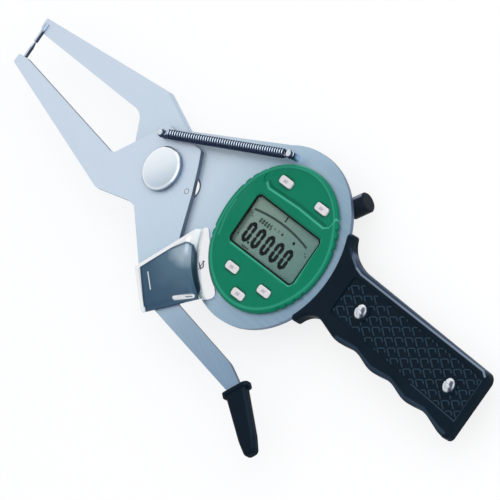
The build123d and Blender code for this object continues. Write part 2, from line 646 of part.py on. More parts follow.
# Frame of the gauge
nodes["body_plate"] = make_body_plate()
nodes["fixed_contact_pin"] = make_fixed_pin()
nodes["pivot_pin"] = make_pivot_pin()
nodes["pivot_cap"] = make_pivot_cap()
nodes["pivot_washers"] = make_pivot_washers()
nodes["pivot_nut"] = make_pivot_nut()
nodes["plate_spring_post"] = make_post(PLATE_POST, -1.8, 0)
nodes["guard_cover"] = make_guard()
nodes["guard_screw"] = make_guard_screw()
nodes["handle_front_scale"] = make_front_scale()
nodes["handle_rear_scale"] = make_rear_scale()
nodes["handle_screws"] = make_handle_screws()
nodes["handle_nuts"] = make_handle_nuts()

# Indicator
nodes["indicator_case"] = make_case()
nodes["case_screws"] = make_case_screws()
nodes["back_cover"] = make_back_cover()
nodes["back_cover_screws"] = make_cover_screws()
nodes["battery_cell"] = disc(battery_place(), BATTERY_R, -12.9, -7.5)
nodes["battery_cover"] = make_battery_cover()
nodes["sensor_board"] = block(-15.5, 15.5, -7.0, 7.0, BOARD_LOW, BOARD_LOW + 1.0)
nodes["stem"] = make_stem()
nodes["spindle_bushes"] = make_bushes()
nodes["spindle_cap"] = make_spindle_cap()
nodes["return_spring"] = make_return_spring()

# Spindle
nodes["spindle"] = rod(SPINDLE_R, SPINDLE_FRONT, SPINDLE_REAR)
nodes["contact_point"] = make_contact_point()
nodes["scale_carrier"] = make_scale_carrier()
nodes["linear_scale"] = block(-10, 7, -4, 4, -9.6, -9.0)

# Moving arm
nodes["moving_arm"] = make_moving_arm()
nodes["moving_contact_pin"] = make_moving_pin()
nodes["contact_anvil"] = make_anvil()
nodes["stop_pin"] = make_stop_pin()
nodes["arm_spring_post"] = make_post(ARM_POST, ARM_LOW, ARM_HIGH)
nodes["extension_spring"] = make_spring()
nodes["lever_grip"] = make_lever_grip()

# Display head
nodes["display_housing"] = make_display_housing()
nodes["retaining_ring"] = make_retaining_ring()
nodes["lcd_panel"] = rounded(LCD_W + 1.6, LCD_H + 1.6, 0.4, -0.9, HEAD_ROOF, LCD_PLACE)
nodes["lcd_window"] = rounded(LCD_W, LCD_H, LCD_CORNER_R, HEAD_ROOF, WINDOW_HIGH, LCD_PLACE)
nodes["lcd_gasket"] = make_gasket()
nodes["key_mat"] = make_key_mat()
nodes["display_board"] = disc(DISPLAY_CENTRE, NECK_INNER_R - 0.1, -2.1, -0.9)
for key_name, key_place in KEY_PLACES.items():
    nodes["key_" + key_name] = make_key(key_place)

# Move the origin under the middle of the whole gauge, then write one file for each node
whole_box = Compound([shape for shape in nodes.values()]).bounding_box()
SHIFT = (-whole_box.center().X, -whole_box.center().Y, -whole_box.min.Z)

os.makedirs("parts", exist_ok=True)
for name, shape in nodes.items():
    export_step(Pos(*SHIFT) * shape, f"parts/{name}.step")
print("nodes", len(nodes))
print("size", whole_box.size)
print("shift", SHIFT)
print("spindle travel", SPINDLE_TRAVEL, "ratio", SPINDLE_RATIO)
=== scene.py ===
"""The looks of a digital outside caliper gauge: finishes, springs, display figures, grip pattern, light and view.

Places are drawn in millimetres from the pivot axis and the front face of the body plate. X runs to the handle, Y to
the side of the extension spring and Z out of the front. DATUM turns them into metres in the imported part's frame.
"""

import logging
import math
from dataclasses import dataclass, replace
from enum import Enum

import bmesh
import bpy
from mathutils import Matrix, Vector


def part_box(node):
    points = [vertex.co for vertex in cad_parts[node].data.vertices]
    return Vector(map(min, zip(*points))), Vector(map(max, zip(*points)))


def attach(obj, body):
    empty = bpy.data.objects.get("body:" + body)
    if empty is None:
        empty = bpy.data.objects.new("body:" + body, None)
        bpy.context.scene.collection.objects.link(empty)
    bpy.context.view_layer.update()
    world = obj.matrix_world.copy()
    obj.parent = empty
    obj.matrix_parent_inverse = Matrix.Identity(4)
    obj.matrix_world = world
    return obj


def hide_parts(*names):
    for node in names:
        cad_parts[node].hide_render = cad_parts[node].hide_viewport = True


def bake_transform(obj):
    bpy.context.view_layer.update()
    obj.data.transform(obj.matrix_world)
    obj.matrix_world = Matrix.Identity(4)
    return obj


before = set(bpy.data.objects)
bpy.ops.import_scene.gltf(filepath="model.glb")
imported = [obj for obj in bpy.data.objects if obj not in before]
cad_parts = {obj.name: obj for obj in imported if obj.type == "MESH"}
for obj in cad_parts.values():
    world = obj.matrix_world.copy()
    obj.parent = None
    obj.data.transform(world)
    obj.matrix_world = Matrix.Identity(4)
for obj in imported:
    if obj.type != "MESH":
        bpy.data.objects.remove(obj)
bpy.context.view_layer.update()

LOG = logging.getLogger("gauge")
MM = 0.001

Point2 = tuple[float, float]
Point3 = tuple[float, float, float]
Stops = tuple[tuple[float, str], ...]

OUT: Point3 = (0.0, 0.0, 1.0)
WHITE = (1.0, 1.0, 1.0, 1.0)
HANDLE_SCREWS: tuple[Point2, ...] = ((128.8, 3.2), (188.6, 1.5))


@dataclass(frozen=True)
class Datum:
    """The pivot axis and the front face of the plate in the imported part's frame, in metres."""

    origin: Vector

    @staticmethod
    def read() -> "Datum":
        """Take the datum from the pivot cap and the body plate.

        Returns:
            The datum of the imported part.
        """
        low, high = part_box("pivot_cap")
        plate_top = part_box("body_plate")[1].z
        return Datum(Vector(((low.x + high.x) / 2, (low.y + high.y) / 2, plate_top)))

    def at(self, x: float, y: float, z: float = 0.0) -> Vector:
        """A drawn place as a point in the frame."""
        return self.origin + Vector((x, y, z)) * MM


DATUM = Datum.read()


# Colour and shader tools
def colour(code: str) -> tuple[float, float, float, float]:
    """Turn a web colour into a linear colour.

    Args:
        code: Six hexadecimal digits after a hash sign.

    Returns:
        Red, green, blue and alpha for a shader socket.
    """
    parts = [int(code[i : i + 2], 16) / 255 for i in (1, 3, 5)]
    linear = [p / 12.92 if p <= 0.04045 else ((p + 0.055) / 1.055) ** 2.4 for p in parts]
    return (linear[0], linear[1], linear[2], 1.0)


class Value:
    """A shader socket that can be used in sums."""

    def __init__(self, nodes: "Nodes", socket: bpy.types.NodeSocket | None) -> None:
        """Keep the tree and the socket that this value stands for."""
        self.nodes = nodes
        self.socket = socket

    def _math(self, operation: str, *terms: "Value | float") -> "Value":
        """Add one Math node on one or two terms."""
        return self.nodes.node("ShaderNodeMath", {"operation": operation}, dict(enumerate(terms)))

    def __add__(self, other: "Value | float") -> "Value":
        """Sum of this and another value."""
        return self._math("ADD", self, other)

    def __radd__(self, other: float) -> "Value":
        """Sum with a number on the left."""
        return self._math("ADD", other, self)

    def __sub__(self, other: "Value | float") -> "Value":
        """Difference of this and another value."""
        return self._math("SUBTRACT", self, other)

    def __rsub__(self, other: float) -> "Value":
        """A number less this value."""
        return self._math("SUBTRACT", other, self)

    def __mul__(self, other: "Value | float") -> "Value":
        """Product of this and another value."""
        return self._math("MULTIPLY", self, other)

    def __rmul__(self, other: float) -> "Value":
        """Product with a number on the left."""
        return self._math("MULTIPLY", other, self)

    def __truediv__(self, other: "Value | float") -> "Value":
        """Quotient of this and another value."""
        return self._math("DIVIDE", self, other)

    def __rtruediv__(self, other: float) -> "Value":
        """A number divided by this value."""
        return self._math("DIVIDE", other, self)

    def absolute(self) -> "Value":
        """This value without its sign."""
        return self._math("ABSOLUTE", self)

    def root(self) -> "Value":
        """The square root of this value."""
        return self._math("SQRT", self)

    def at_least(self, other: "Value | float") -> "Value":
        """The larger of this and another value."""
        return self._math("MAXIMUM", self, other)

    def at_most(self, other: "Value | float") -> "Value":
        """The smaller of this and another value."""
        return self._math("MINIMUM", self, other)

    def swing(self, span: float, middle: float = 0.0) -> "Value":
        """A value from 0 to 1 as a swing over a span about a middle."""
        return (self - 0.5) * span + middle

    def spread(self, low: float, high: float, to_low: float = 0.0, to_high: float = 1.0) -> "Value":
        """Map a range of this value smoothly to another range.

        Args:
            low: Value that maps to to_low.
            high: Value that maps to to_high.
            to_low: Result at and below low.
            to_high: Result at and above high.

        Returns:
            The mapped value, held inside the range.
        """
        return self.nodes.node(
            "ShaderNodeMapRange",
            {"interpolation_type": "SMOOTHSTEP"},
            {"Value": self, "From Min": low, "From Max": high, "To Min": to_low, "To Max": to_high},
        )


class Nodes:
    """The node tree of a material or of the world."""

    def __init__(self, tree: bpy.types.NodeTree) -> None:
        """Start with an empty tree."""
        self.tree = tree
        tree.nodes.clear()

    def node(self, kind: str, settings: dict | None = None, values: dict | None = None, out: int | str = 0) -> Value:
        """Add a node.

        Args:
            kind: The node's type.
            settings: Its own options, and "stops" for a colour ramp as (place, web colour) pairs.
            values: What goes into its sockets, by name or number: a Value, a number or a tuple.
            out: Which output the result stands for.

        Returns:
            The chosen output as a Value, empty for a node without outputs.
        """
        made = self.tree.nodes.new(kind)
        for key, setting in (settings or {}).items():
            if key == "stops":
                self._set_stops(made, setting)
            else:
                setattr(made, key, setting)
        for key, given in (values or {}).items():
            self.feed(made.inputs[key], given)
        return Value(self, made.outputs[out] if made.outputs else None)

    @staticmethod
    def _set_stops(ramp: bpy.types.Node, stops: Stops) -> None:
        """Give a colour ramp its stops.

        Args:
            ramp: The colour ramp's node.
            stops: Places from 0 to 1 with their web colours.
        """
        elements = ramp.color_ramp.elements
        while len(elements) < len(stops):
            elements.new(1.0)
        for element, (place, code) in zip(elements, stops):
            element.position = place
            element.color = colour(code)

    def feed(self, socket: bpy.types.NodeSocket, given: Value | float | tuple) -> None:
        """Link a value to a socket, or set the socket to a constant.

        Args:
            socket: The input to feed.
            given: A Value, a number or a tuple.
        """
        if isinstance(given, Value):
            self.tree.links.new(given.socket, socket)
        else:
            socket.default_value = given

    def rays(self) -> list[Value]:
        """Whether the surface is seen directly, in a mirror or through a clear piece."""
        return [self.node("ShaderNodeLightPath", out=f"Is {kind} Ray") for kind in ("Camera", "Glossy", "Transmission")]


class Shader(Nodes):
    """One material with a Principled surface, and the ways to read its place and direction."""

    def __init__(self, name: str) -> None:
        """Start the material.

        Args:
            name: The material's name.
        """
        self.material = bpy.data.materials.new(name)
        self.material.use_nodes = True
        super().__init__(self.material.node_tree)
        self.surface = self.node("ShaderNodeBsdfPrincipled")
        self.node("ShaderNodeOutputMaterial", {}, {0: self.surface})

    def set(self, **inputs: Value | float | tuple) -> None:
        """Feed inputs of the surface; underscores in their names stand for spaces."""
        for key, given in inputs.items():
            self.feed(self.surface.socket.node.inputs[key.replace("_", " ")], given)

    def vector(self, operation: str, first: Value, second: Point3, out: int | str = 0) -> Value:
        """One Vector Math node on a value and a constant."""
        return self.node("ShaderNodeVectorMath", {"operation": operation}, {0: first, 1: second}, out)

    def spot(self) -> Value:
        """The place on the object, in metres."""
        return self.node("ShaderNodeTexCoord", out="Object")

    def place(self, scale: Point3, turn: float = 0.0) -> Value:
        """The place on the object in metres, turned about Z by an angle in degrees and then stretched."""
        values = {"Vector": self.spot(), "Angle": math.radians(turn)}
        return self.vector("MULTIPLY", self.node("ShaderNodeVectorRotate", {"rotation_type": "Z_AXIS"}, values), scale)

    def along(self, direction: Point3, start: tuple[float, ...] = (0.0, 0.0)) -> Value:
        """How far the place lies from a drawn start along a direction of length 1, in millimetres."""
        offset = self.vector("SUBTRACT", self.spot(), tuple(DATUM.at(*start)))
        return self.vector("DOT_PRODUCT", offset, direction, "Value") / MM

    def from_axis(self, centre: Point2) -> Value:
        """Distance from an upright axis in millimetres."""
        across, up = self.along((1.0, 0.0, 0.0), centre), self.along((0.0, 1.0, 0.0), centre)
        return (across * across + up * up).root()

    def inside(self, corners: tuple[Point2, ...]) -> Value:
        """How far the place lies inside an upright convex prism, in millimetres.

        Args:
            corners: Its drawn corners, clockwise as seen from the front.

        Returns:
            The distance to the nearest side, negative outside.
        """
        reach = None
        for start, end in zip(corners, corners[1:] + corners[:1]):
            run = (Vector(end) - Vector(start)).normalized()
            depth = self.along((run.y, -run.x, 0.0), start)
            reach = depth if reach is None else reach.at_most(depth)
        return reach

    def stroke(self, start: Point2, end: Point2) -> Value:
        """How far the place lies from a line, seen from the front, in millimetres.

        Args:
            start: The line's first drawn end.
            end: Its other end.

        Returns:
            The distance to the nearest point of the line.
        """
        run = Vector(end) - Vector(start)
        half = run.length / 2
        run.normalize()
        beyond = ((self.along((run.x, run.y, 0.0), start) - half).absolute() - half).at_least(0.0)
        aside = self.along((-run.y, run.x, 0.0), start)
        return (beyond * beyond + aside * aside).root()

    def facing(self, direction: Point3) -> Value:
        """How squarely the surface faces a direction, from -1 to 1."""
        return self.vector("DOT_PRODUCT", self.node("ShaderNodeNewGeometry", out="Normal"), direction, "Value")

    def wall(self, steep: float, level: float, share: float) -> Value:
        """A share on upright walls that fades out towards level faces."""
        return self.facing(OUT).absolute().spread(steep, level, share, 0.0)

    def noise(self, spot: Value, detail: float = 2.0, rough: float = 0.55, scale: float = 1.0) -> Value:
        """Noise from 0 to 1 at a place, with finer layers by their number and strength."""
        values = {"Vector": spot, "Scale": scale, "Detail": detail, "Roughness": rough}
        return self.node("ShaderNodeTexNoise", {"noise_dimensions": "3D"}, values)

    def mottle(self, scale: float, detail: float = 2.0) -> Value:
        """Noise of one scale in every direction."""
        return self.noise(self.place((scale, scale, scale)), detail)

    def mix(self, share: Value, first: Value | str, second: Value | str) -> Value:
        """Mix two colours, values or web colours, by the share of the second."""
        first, second = (colour(c) if isinstance(c, str) else c for c in (first, second))
        return self.node("ShaderNodeMix", {"data_type": "RGBA"}, {0: share, 6: first, 7: second}, out=2)

    def ramp(self, share: Value, stops: Stops) -> Value:
        """A colour read from stops along a value from 0 to 1."""
        return self.node("ShaderNodeValToRGB", {"stops": stops}, {"Fac": share})

    def bump(self, height: Value, strength: float, depth_mm: float) -> Value:
        """A normal roughened by a height."""
        values = {"Height": height, "Strength": strength, "Distance": depth_mm * MM}
        return self.node("ShaderNodeBump", {}, values, "Normal")


# Painted marks: bright and dark lines, mostly painted highlights and painted shade that follow moulded and pressed
# steps
@dataclass(frozen=True)
class Trace:
    """A soft line through drawn points, seen from the front."""

    points: tuple[Point2, ...]
    half_mm: float
    tone: str
    share: float = 0.85

    def moved(self, step: Point2) -> "Trace":
        """The same line shifted by a step."""
        return replace(self, points=tuple((x + step[0], y + step[1]) for x, y in self.points))

    def reach(self, s: Shader) -> Value:
        """How far a surface lies from the line.

        Args:
            s: The surface's shader.

        Returns:
            The distance in millimetres.
        """
        found = None
        for start, end in zip(self.points, self.points[1:]):
            near = s.stroke(start, end)
            found = near if found is None else found.at_most(near)
        return found


@dataclass(frozen=True)
class Ring:
    """A soft ring about an upright axis."""

    centre: Point2
    radius_mm: float
    half_mm: float
    tone: str
    share: float = 0.85

    def reach(self, s: Shader) -> Value:
        """Distance from the ring in millimetres."""
        return (s.from_axis(self.centre) - self.radius_mm).absolute()


@dataclass(frozen=True)
class Foot:
    """A soft band of painted reflection above the plate, where a bright piece mirrors the sheet that it stands on."""

    half_mm: float
    tone: str
    share: float = 0.85

    def reach(self, s: Shader) -> Value:
        """Height above the plate in millimetres."""
        return s.along(OUT)


Mark = Trace | Ring | Foot
FULL_TO, NONE_FROM = 0.5, 1.4  # a mark covers fully up to, and fades out at, these multiples of its half width


def paint(s: Shader, base: Value, marks: tuple[Mark, ...]) -> Value:
    """Lay painted marks over a colour.

    Args:
        s: The shader they go into.
        base: The colour under them.
        marks: The marks, the last one on top.

    Returns:
        The colour with the marks.
    """
    for mark in marks:
        cover = mark.reach(s).spread(mark.half_mm * FULL_TO, mark.half_mm * NONE_FROM, mark.share, 0.0)
        base = s.mix(cover, base, mark.tone)
    return base


# Finishes
MADE: dict[str, bpy.types.Material] = {}


class Finish:
    """A finish that can dress pieces; its material is made once."""

    name: str

    def fill(self, s: Shader) -> None:
        """Add the material's nodes to its shader."""
        raise NotImplementedError

    def material(self) -> bpy.types.Material:
        """Make the material on first use.

        Returns:
            The one material of this finish.
        """
        if self.name not in MADE:
            shader = Shader(self.name)
            self.fill(shader)
            MADE[self.name] = shader.material
        return MADE[self.name]

    def dress(self, *nodes: str) -> None:
        """Give CAD nodes this finish.

        Args:
            nodes: Names of the nodes.
        """
        for name in nodes:
            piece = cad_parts[name]
            if not piece.material_slots:
                piece.data.materials.append(self.material())
            for place in piece.material_slots:
                place.material = self.material()
            LOG.info("%s dressed in %s", name, self.name)


@dataclass(frozen=True)
class SatinSheet(Finish):
    """Ground sheet steel: painted shade that darkens the tone along one direction, fine grain and painted shade on the
    cut edges.
    """

    name: str
    stops: Stops
    fall: Point3 = (0.8, -0.6, 0.0)
    span_mm: Point2 = (-90.0, 110.0)
    grain_turn: float = 0.0
    edge: str = "#5b6d86"
    marks: tuple[Mark, ...] = ()
    grain_scale: Point3 = (60.0, 5200.0, 900.0)
    streak_scale: Point3 = (18.0, 900.0, 300.0)
    cloud_scale: float = 26.0
    rough: float = 0.42

    def fill(self, s: Shader) -> None:
        """Ground steel with grain across the sheet.

        Args:
            s: The material's shader.
        """
        low, high = self.span_mm
        # painted shade: the tone darkens along fall over span_mm
        tone = (s.along(self.fall) - low) / (high - low)
        base = s.ramp(tone + s.mottle(self.cloud_scale).swing(0.05), self.stops)
        grain = s.noise(s.place(self.grain_scale, self.grain_turn), rough=0.6)
        streak = s.noise(s.place(self.streak_scale, self.grain_turn))
        tinted = s.mix(grain.swing(0.16) + streak.swing(0.12, 0.06), base, "#eef4fa")
        s.set(
            # painted shade on upright walls, with the painted marks laid on top
            Base_Color=paint(s, s.mix(s.wall(0.35, 0.8, 0.85), tinted, self.edge), self.marks),
            Metallic=0.55,
            Roughness=grain.swing(0.16) + streak.swing(0.08, self.rough),
            Normal=s.bump(grain, 0.12, 0.01),
        )


@dataclass(frozen=True)
class BrightSteel(Finish):
    """Turned or ground bright metal for pins, posts, screws and nuts, with painted shade towards one side."""

    name: str
    light: str
    dark: str
    rough: float = 0.2
    shade_side: Point3 = (0.7, -0.5, 0.2)
    shade_range: Point2 = (-0.2, 0.9)
    marks: tuple[Mark, ...] = ()
    ring_mm: float = 0.14
    cross_scale: float = 500.0
    wear_scale: float = 900.0

    def fill(self, s: Shader) -> None:
        """Bright metal with faint turning marks and painted shade on one side.

        Args:
            s: The material's shader.
        """
        rings = s.noise(s.place((self.cross_scale, self.cross_scale, 1.0 / (self.ring_mm * MM))))
        # painted shade: the dark tone covers faces turned towards shade_side; a wear mottle goes over it
        shade = s.facing(self.shade_side).spread(*self.shade_range)
        base = s.mix(shade * 0.97, self.light, self.dark)
        shade_and_wear = s.mix(s.mottle(self.wear_scale, 4.0).swing(0.2), base, "#c9d4de")
        s.set(
            Base_Color=paint(s, shade_and_wear, self.marks),
            Metallic=0.95,
            Roughness=rings.swing(0.18, self.rough),
            Normal=s.bump(rings, 0.15, 0.01),
        )


@dataclass(frozen=True)
class TurnedCap(Finish):
    """A finely turned cap: rings, painted light that falls across it, and a painted highlight rim and a painted shade
    edge that begin and are full so far inside its radius.
    """

    name: str
    radius_mm: float
    centre: Point2 = (0.0, 0.0)
    rim_highlight: Point2 = (1.5, 0.9)
    edge: Point2 = (0.45, 0.15)
    light_sweep: Point3 = (0.62, -0.55, 0.0)
    ring_scale: float = 7.0

    def fill(self, s: Shader) -> None:
        """Rings by the distance from the axis.

        Args:
            s: The material's shader.
        """
        reach = s.from_axis(self.centre)
        line = s.node("ShaderNodeCombineXYZ", {}, {0: reach, 1: 0.0, 2: 0.0})
        rings = s.noise(line, detail=3.0, rough=0.7, scale=self.ring_scale)
        # painted light: the tone falls from bright to dark across the cap along light_sweep
        light_sweep = s.along(self.light_sweep, self.centre).spread(-self.radius_mm, self.radius_mm)
        base = s.ramp(light_sweep, ((0.0, "#eef3f8"), (0.45, "#dde6ee"), (0.8, "#c3d1dd"), (1.0, "#aebfcd")))
        # painted highlight at the rim, painted shade at the edge and on the side wall
        rim_highlight = reach.spread(*(self.radius_mm - inset for inset in self.rim_highlight)) * 0.35
        edge = reach.spread(*(self.radius_mm - inset for inset in self.edge), 0.0, 0.7)
        edge = edge.at_least(s.facing(OUT).spread(0.2, 0.6, 0.9, 0.0))
        s.set(
            Base_Color=s.mix(edge, s.mix(rim_highlight + rings.swing(0.25), base, "#ffffff"), "#5a6d84"),
            Metallic=0.9,
            Roughness=rings.swing(0.2, 0.24),
            Normal=s.bump(rings, 0.2, 0.02),
        )


@dataclass(frozen=True)
class MirrorSheet(Finish):
    """Polished pressed sheet in painted reflection: near white on the flange, the borders and the lip, blue-grey on the
    raised face.

    Fields:
        face: Corners of the blue-grey painted reflection, clockwise from the front.
        glow: Middle of the soft bright spot in the painted reflection.
        marks: Painted glints in the reflection.
        mirror: Tones of the painted reflection from the bright spot outwards.
        glow_reach: Distance over which the painted reflection falls through these tones, in millimetres.
        raised: Heights between which the flange ends and the raised face begins.
    """

    name: str
    face: tuple[Point2, ...]
    glow: Point3
    marks: tuple[Mark, ...]
    mirror: Stops = (
        (0.0, "#b0bfca"), (0.1, "#92a6b4"), (0.24, "#546f83"), (0.5, "#3f5a70"), (0.8, "#375168"), (1.0, "#48647b"),
    )
    glow_reach: float = 34.0
    raised: Point2 = (0.9, 1.7)

    def fill(self, s: Shader) -> None:
        """Height, the border of the painted reflection and the painted glints choose between the white and the blue
        tones.

        Args:
            s: The material's shader.
        """
        near = s.vector("DISTANCE", s.spot(), tuple(DATUM.at(*self.glow)), "Value") / (MM * self.glow_reach)
        mirror = s.ramp(near + s.mottle(110.0).swing(0.22), self.mirror)
        depth = s.inside(self.face)
        # painted shade along the inside of the face's border
        mirror = s.mix(depth.spread(0.35, 1.3, 0.8, 0.0), mirror, "#233b54")
        # painted reflection: near white, greyer just outside the face's border and on walls
        pale = s.mix(depth.spread(-0.9, -0.1, 0.0, 0.35), "#eceef0", "#7c8fa6")
        pale = s.mix(s.wall(0.6, 0.97, 0.55), pale, "#a5b2be")
        raised = s.along(OUT).spread(*self.raised) * depth.spread(-0.15, 0.2)
        body = paint(s, s.mix(raised, pale, mirror), self.marks)
        scuff = s.mottle(700.0, 3.0)
        s.set(
            # painted shade on upright walls at the face
            Base_Color=s.mix(s.wall(0.3, 0.75, 0.85) * depth.spread(-0.2, 0.3), body, "#2c4660"),
            Metallic=0.85,
            Roughness=scuff.swing(0.08, 0.2),
            Normal=s.bump(scuff, 0.05, 0.01),
        )


class Surface(Enum):
    """The moulded textures of a plastic or rubber piece: scale, strength and depth in millimetres."""

    FINE = (2600.0, 0.10, 0.02)
    SPARK = (1500.0, 0.28, 0.04)
    STIPPLE = (900.0, 0.55, 0.08)


@dataclass(frozen=True)
class Moulded(Finish):
    """Moulded plastic or rubber with a mottled colour, a painted highlight on the side that faces the light and a
    spark-eroded skin.
    """

    name: str
    base: str
    highlight_tone: str
    rough: float = 0.42
    gloss: float = 0.35
    surface: Surface = Surface.FINE
    light_side: Point3 = (-0.3, 0.8, 0.5)
    highlight_from: float = 0.5
    marks: tuple[Mark, ...] = ()
    cloud_scale: float = 70.0

    def fill(self, s: Shader) -> None:
        """Painted highlight: the colour is lighter where the piece faces the light side, except on level faces.

        Args:
            s: The material's shader.
        """
        scale, strength, depth = self.surface.value
        skin = s.mottle(scale, 3.0)
        cloud = s.mottle(self.cloud_scale, 3.0)
        # painted highlight on faces turned to light_side; the two mottles added to it are the moulding's own colour
        edge = s.facing(self.light_side).spread(self.highlight_from, 1.0)
        level = s.facing(OUT).absolute().spread(0.9, 0.995)
        highlight_and_mottle = edge * (1 - level) * 0.9 + cloud.swing(0.12) + skin.swing(0.06, 0.03)
        s.set(
            Base_Color=paint(s, s.mix(highlight_and_mottle, self.base, self.highlight_tone), self.marks),
            Roughness=cloud.swing(0.12) + skin.swing(0.1, self.rough),
            Specular_IOR_Level=self.gloss,
            Normal=s.bump(skin, strength, depth),
        )


@dataclass(frozen=True)
class DisplayBack(Finish):
    """The grey-green reflector behind the figures."""

    name: str
    centre: Point2
    half_span: float = 24.0
    fall: Point3 = (0.8, -0.6, 0.0)

    def fill(self, s: Shader) -> None:
        """A soft fall of tone over the display with a fine grain.

        Args:
            s: The material's shader.
        """
        tone = s.along(self.fall, self.centre).spread(-self.half_span, self.half_span)
        grain = s.mottle(3200.0)
        base = s.ramp(tone + s.mottle(90.0).swing(0.2), ((0.0, "#80988d"), (0.5, "#728f87"), (1.0, "#618480")))
        s.set(
            Base_Color=s.mix(grain.swing(0.3), base, "#b7c4b4"),
            Roughness=grain.swing(0.1, 0.5),
            Specular_IOR_Level=0.1,
        )


@dataclass(frozen=True)
class Ink(Finish):
    """The dark of lit liquid-crystal figures."""

    name: str
    tone: str

    def fill(self, s: Shader) -> None:
        """Nearly black with a faint mottle.

        Args:
            s: The material's shader.
        """
        cloud = s.mottle(1800.0)
        s.set(
            Base_Color=s.mix(cloud.swing(0.2), self.tone, "#4c5a56"),
            Roughness=cloud.swing(0.1, 0.55),
            Specular_IOR_Level=0.05,
        )


@dataclass(frozen=True)
class ClearWindow(Finish):
    """A clear acrylic window with faint wiping marks."""

    name: str
    wipe_scale: Point3 = (300.0, 1200.0, 300.0)
    wipe_turn: float = 25.0

    def fill(self, s: Shader) -> None:
        """Mostly see-through, with a gloss on top.

        Args:
            s: The material's shader.
        """
        wipes = s.noise(s.place(self.wipe_scale, self.wipe_turn), detail=3.0)
        s.set(
            Base_Color=s.mix(wipes * 0.3, "#dfe9e6", "#ffffff"),
            Alpha=wipes.swing(0.02, 0.014),
            Roughness=wipes.swing(0.06, 0.1),
            Specular_IOR_Level=0.06,
        )


@dataclass(frozen=True)
class Board(Finish):
    """A circuit board or an etched scale with slanting tracks."""

    name: str
    base: str
    track: str
    track_scale: Point3 = (700.0, 90.0, 90.0)
    track_turn: float = 45.0

    def fill(self, s: Shader) -> None:
        """Tracks from a stretched noise.

        Args:
            s: The material's shader.
        """
        tracks = s.noise(s.place(self.track_scale, self.track_turn), detail=1.0).spread(0.5, 0.56)
        s.set(
            Base_Color=s.mix(tracks * 0.6, self.base, self.track),
            Roughness=s.mottle(400.0).swing(0.1, 0.38),
            Metallic=tracks * 0.4,
        )


# Finishes that more than one group or piece wears
GROUND_PIN = BrightSteel("ground_pin", "#dfe6ec", "#8c9aa8", 0.24)
# Painted shade: the contact pins are dark on one side, and the posts and the spring wire are dark except for a painted
# highlight on faces towards the light
CONTACT_PIN = BrightSteel(
    "contact_pin", "#c4d2df", "#16233a", shade_side=(0.95, -0.1, -0.3), shade_range=(-0.1, 0.35)
)
BRIGHT_POST = BrightSteel(
    "bright_post", "#eef5fc", "#10274a", 0.15, shade_side=(0.3, -0.3, -0.9), shade_range=(-0.95, -0.8)
)
BRIGHT_SCREW = BrightSteel("bright_screw", "#f2f5f8", "#5f7084", 0.18)
SPRING_WIRE = BrightSteel(
    "spring_wire", "#cfe2f4", "#071c40", 0.32, shade_side=(-0.385, -0.4, -0.832), shade_range=(-0.97, -0.84)
)


# Mesh tools
class MeshMaker:
    """Collects solids of one piece, drawn in millimetres, and turns them into an object."""

    def __init__(self) -> None:
        """Start an empty mesh."""
        self.mesh = bmesh.new()

    def prism(self, outline: list[Point2], low: float, high: float, taper: float = 0.0) -> None:
        """Add an upright solid.

        Args:
            outline: Its corners, counter-clockwise.
            low: Height of the foot.
            high: Height of the top.
            taper: How far the top shrinks towards the middle, as a share; a negative one widens it.
        """
        count = len(outline)
        middle = Vector((sum(p[0] for p in outline), sum(p[1] for p in outline))) / count
        tops = [Vector(p).lerp(middle, taper) for p in outline]
        foot = [self.mesh.verts.new(DATUM.at(x, y, low)) for x, y in outline]
        top = [self.mesh.verts.new(DATUM.at(p.x, p.y, high)) for p in tops]
        self.mesh.faces.new(list(reversed(foot)))
        self.mesh.faces.new(top)
        for i in range(count):
            j = (i + 1) % count
            self.mesh.faces.new((foot[i], foot[j], top[j], top[i]))

    def tube(self, path: list[Vector], radius: float, sides: int) -> None:
        """Add a round wire along a path.

        Args:
            path: Drawn points.
            radius: Radius of the wire.
            sides: Corners of its section.
        """
        rings = []
        side = (path[1] - path[0]).orthogonal().normalized()
        for i, point in enumerate(path):
            ahead = path[min(i + 1, len(path) - 1)] - path[max(i - 1, 0)]
            ahead.normalize()
            side = (side - ahead * side.dot(ahead)).normalized()
            other = ahead.cross(side)
            ring = []
            for k in range(sides):
                turn = 2 * math.pi * k / sides
                spot = point + (side * math.cos(turn) + other * math.sin(turn)) * radius
                ring.append(self.mesh.verts.new(DATUM.at(*spot)))
            rings.append(ring)
        for first, second in zip(rings, rings[1:]):
            for k in range(sides):
                j = (k + 1) % sides
                self.mesh.faces.new((first[k], first[j], second[j], second[k]))
        self.mesh.faces.new(list(reversed(rings[0])))
        self.mesh.faces.new(rings[-1])

    def finish(self, name: str, finish: Finish, smooth: bool = False) -> bpy.types.Object:
        """Make the object.

        Args:
            name: Name of the piece.
            finish: What it is dressed in.
            smooth: Whether its faces are shaded smooth.

        Returns:
            The new object, linked to the scene.
        """
        bmesh.ops.recalc_face_normals(self.mesh, faces=self.mesh.faces)
        data = bpy.data.meshes.new(name)
        self.mesh.to_mesh(data)
        self.mesh.free()
        for polygon in data.polygons:
            polygon.use_smooth = smooth
        data.materials.append(finish.material())
        made = bpy.data.objects.new(name, data)
        bpy.context.scene.collection.objects.link(made)
        LOG.info("%s: %d vertices", name, len(data.vertices))
        return made


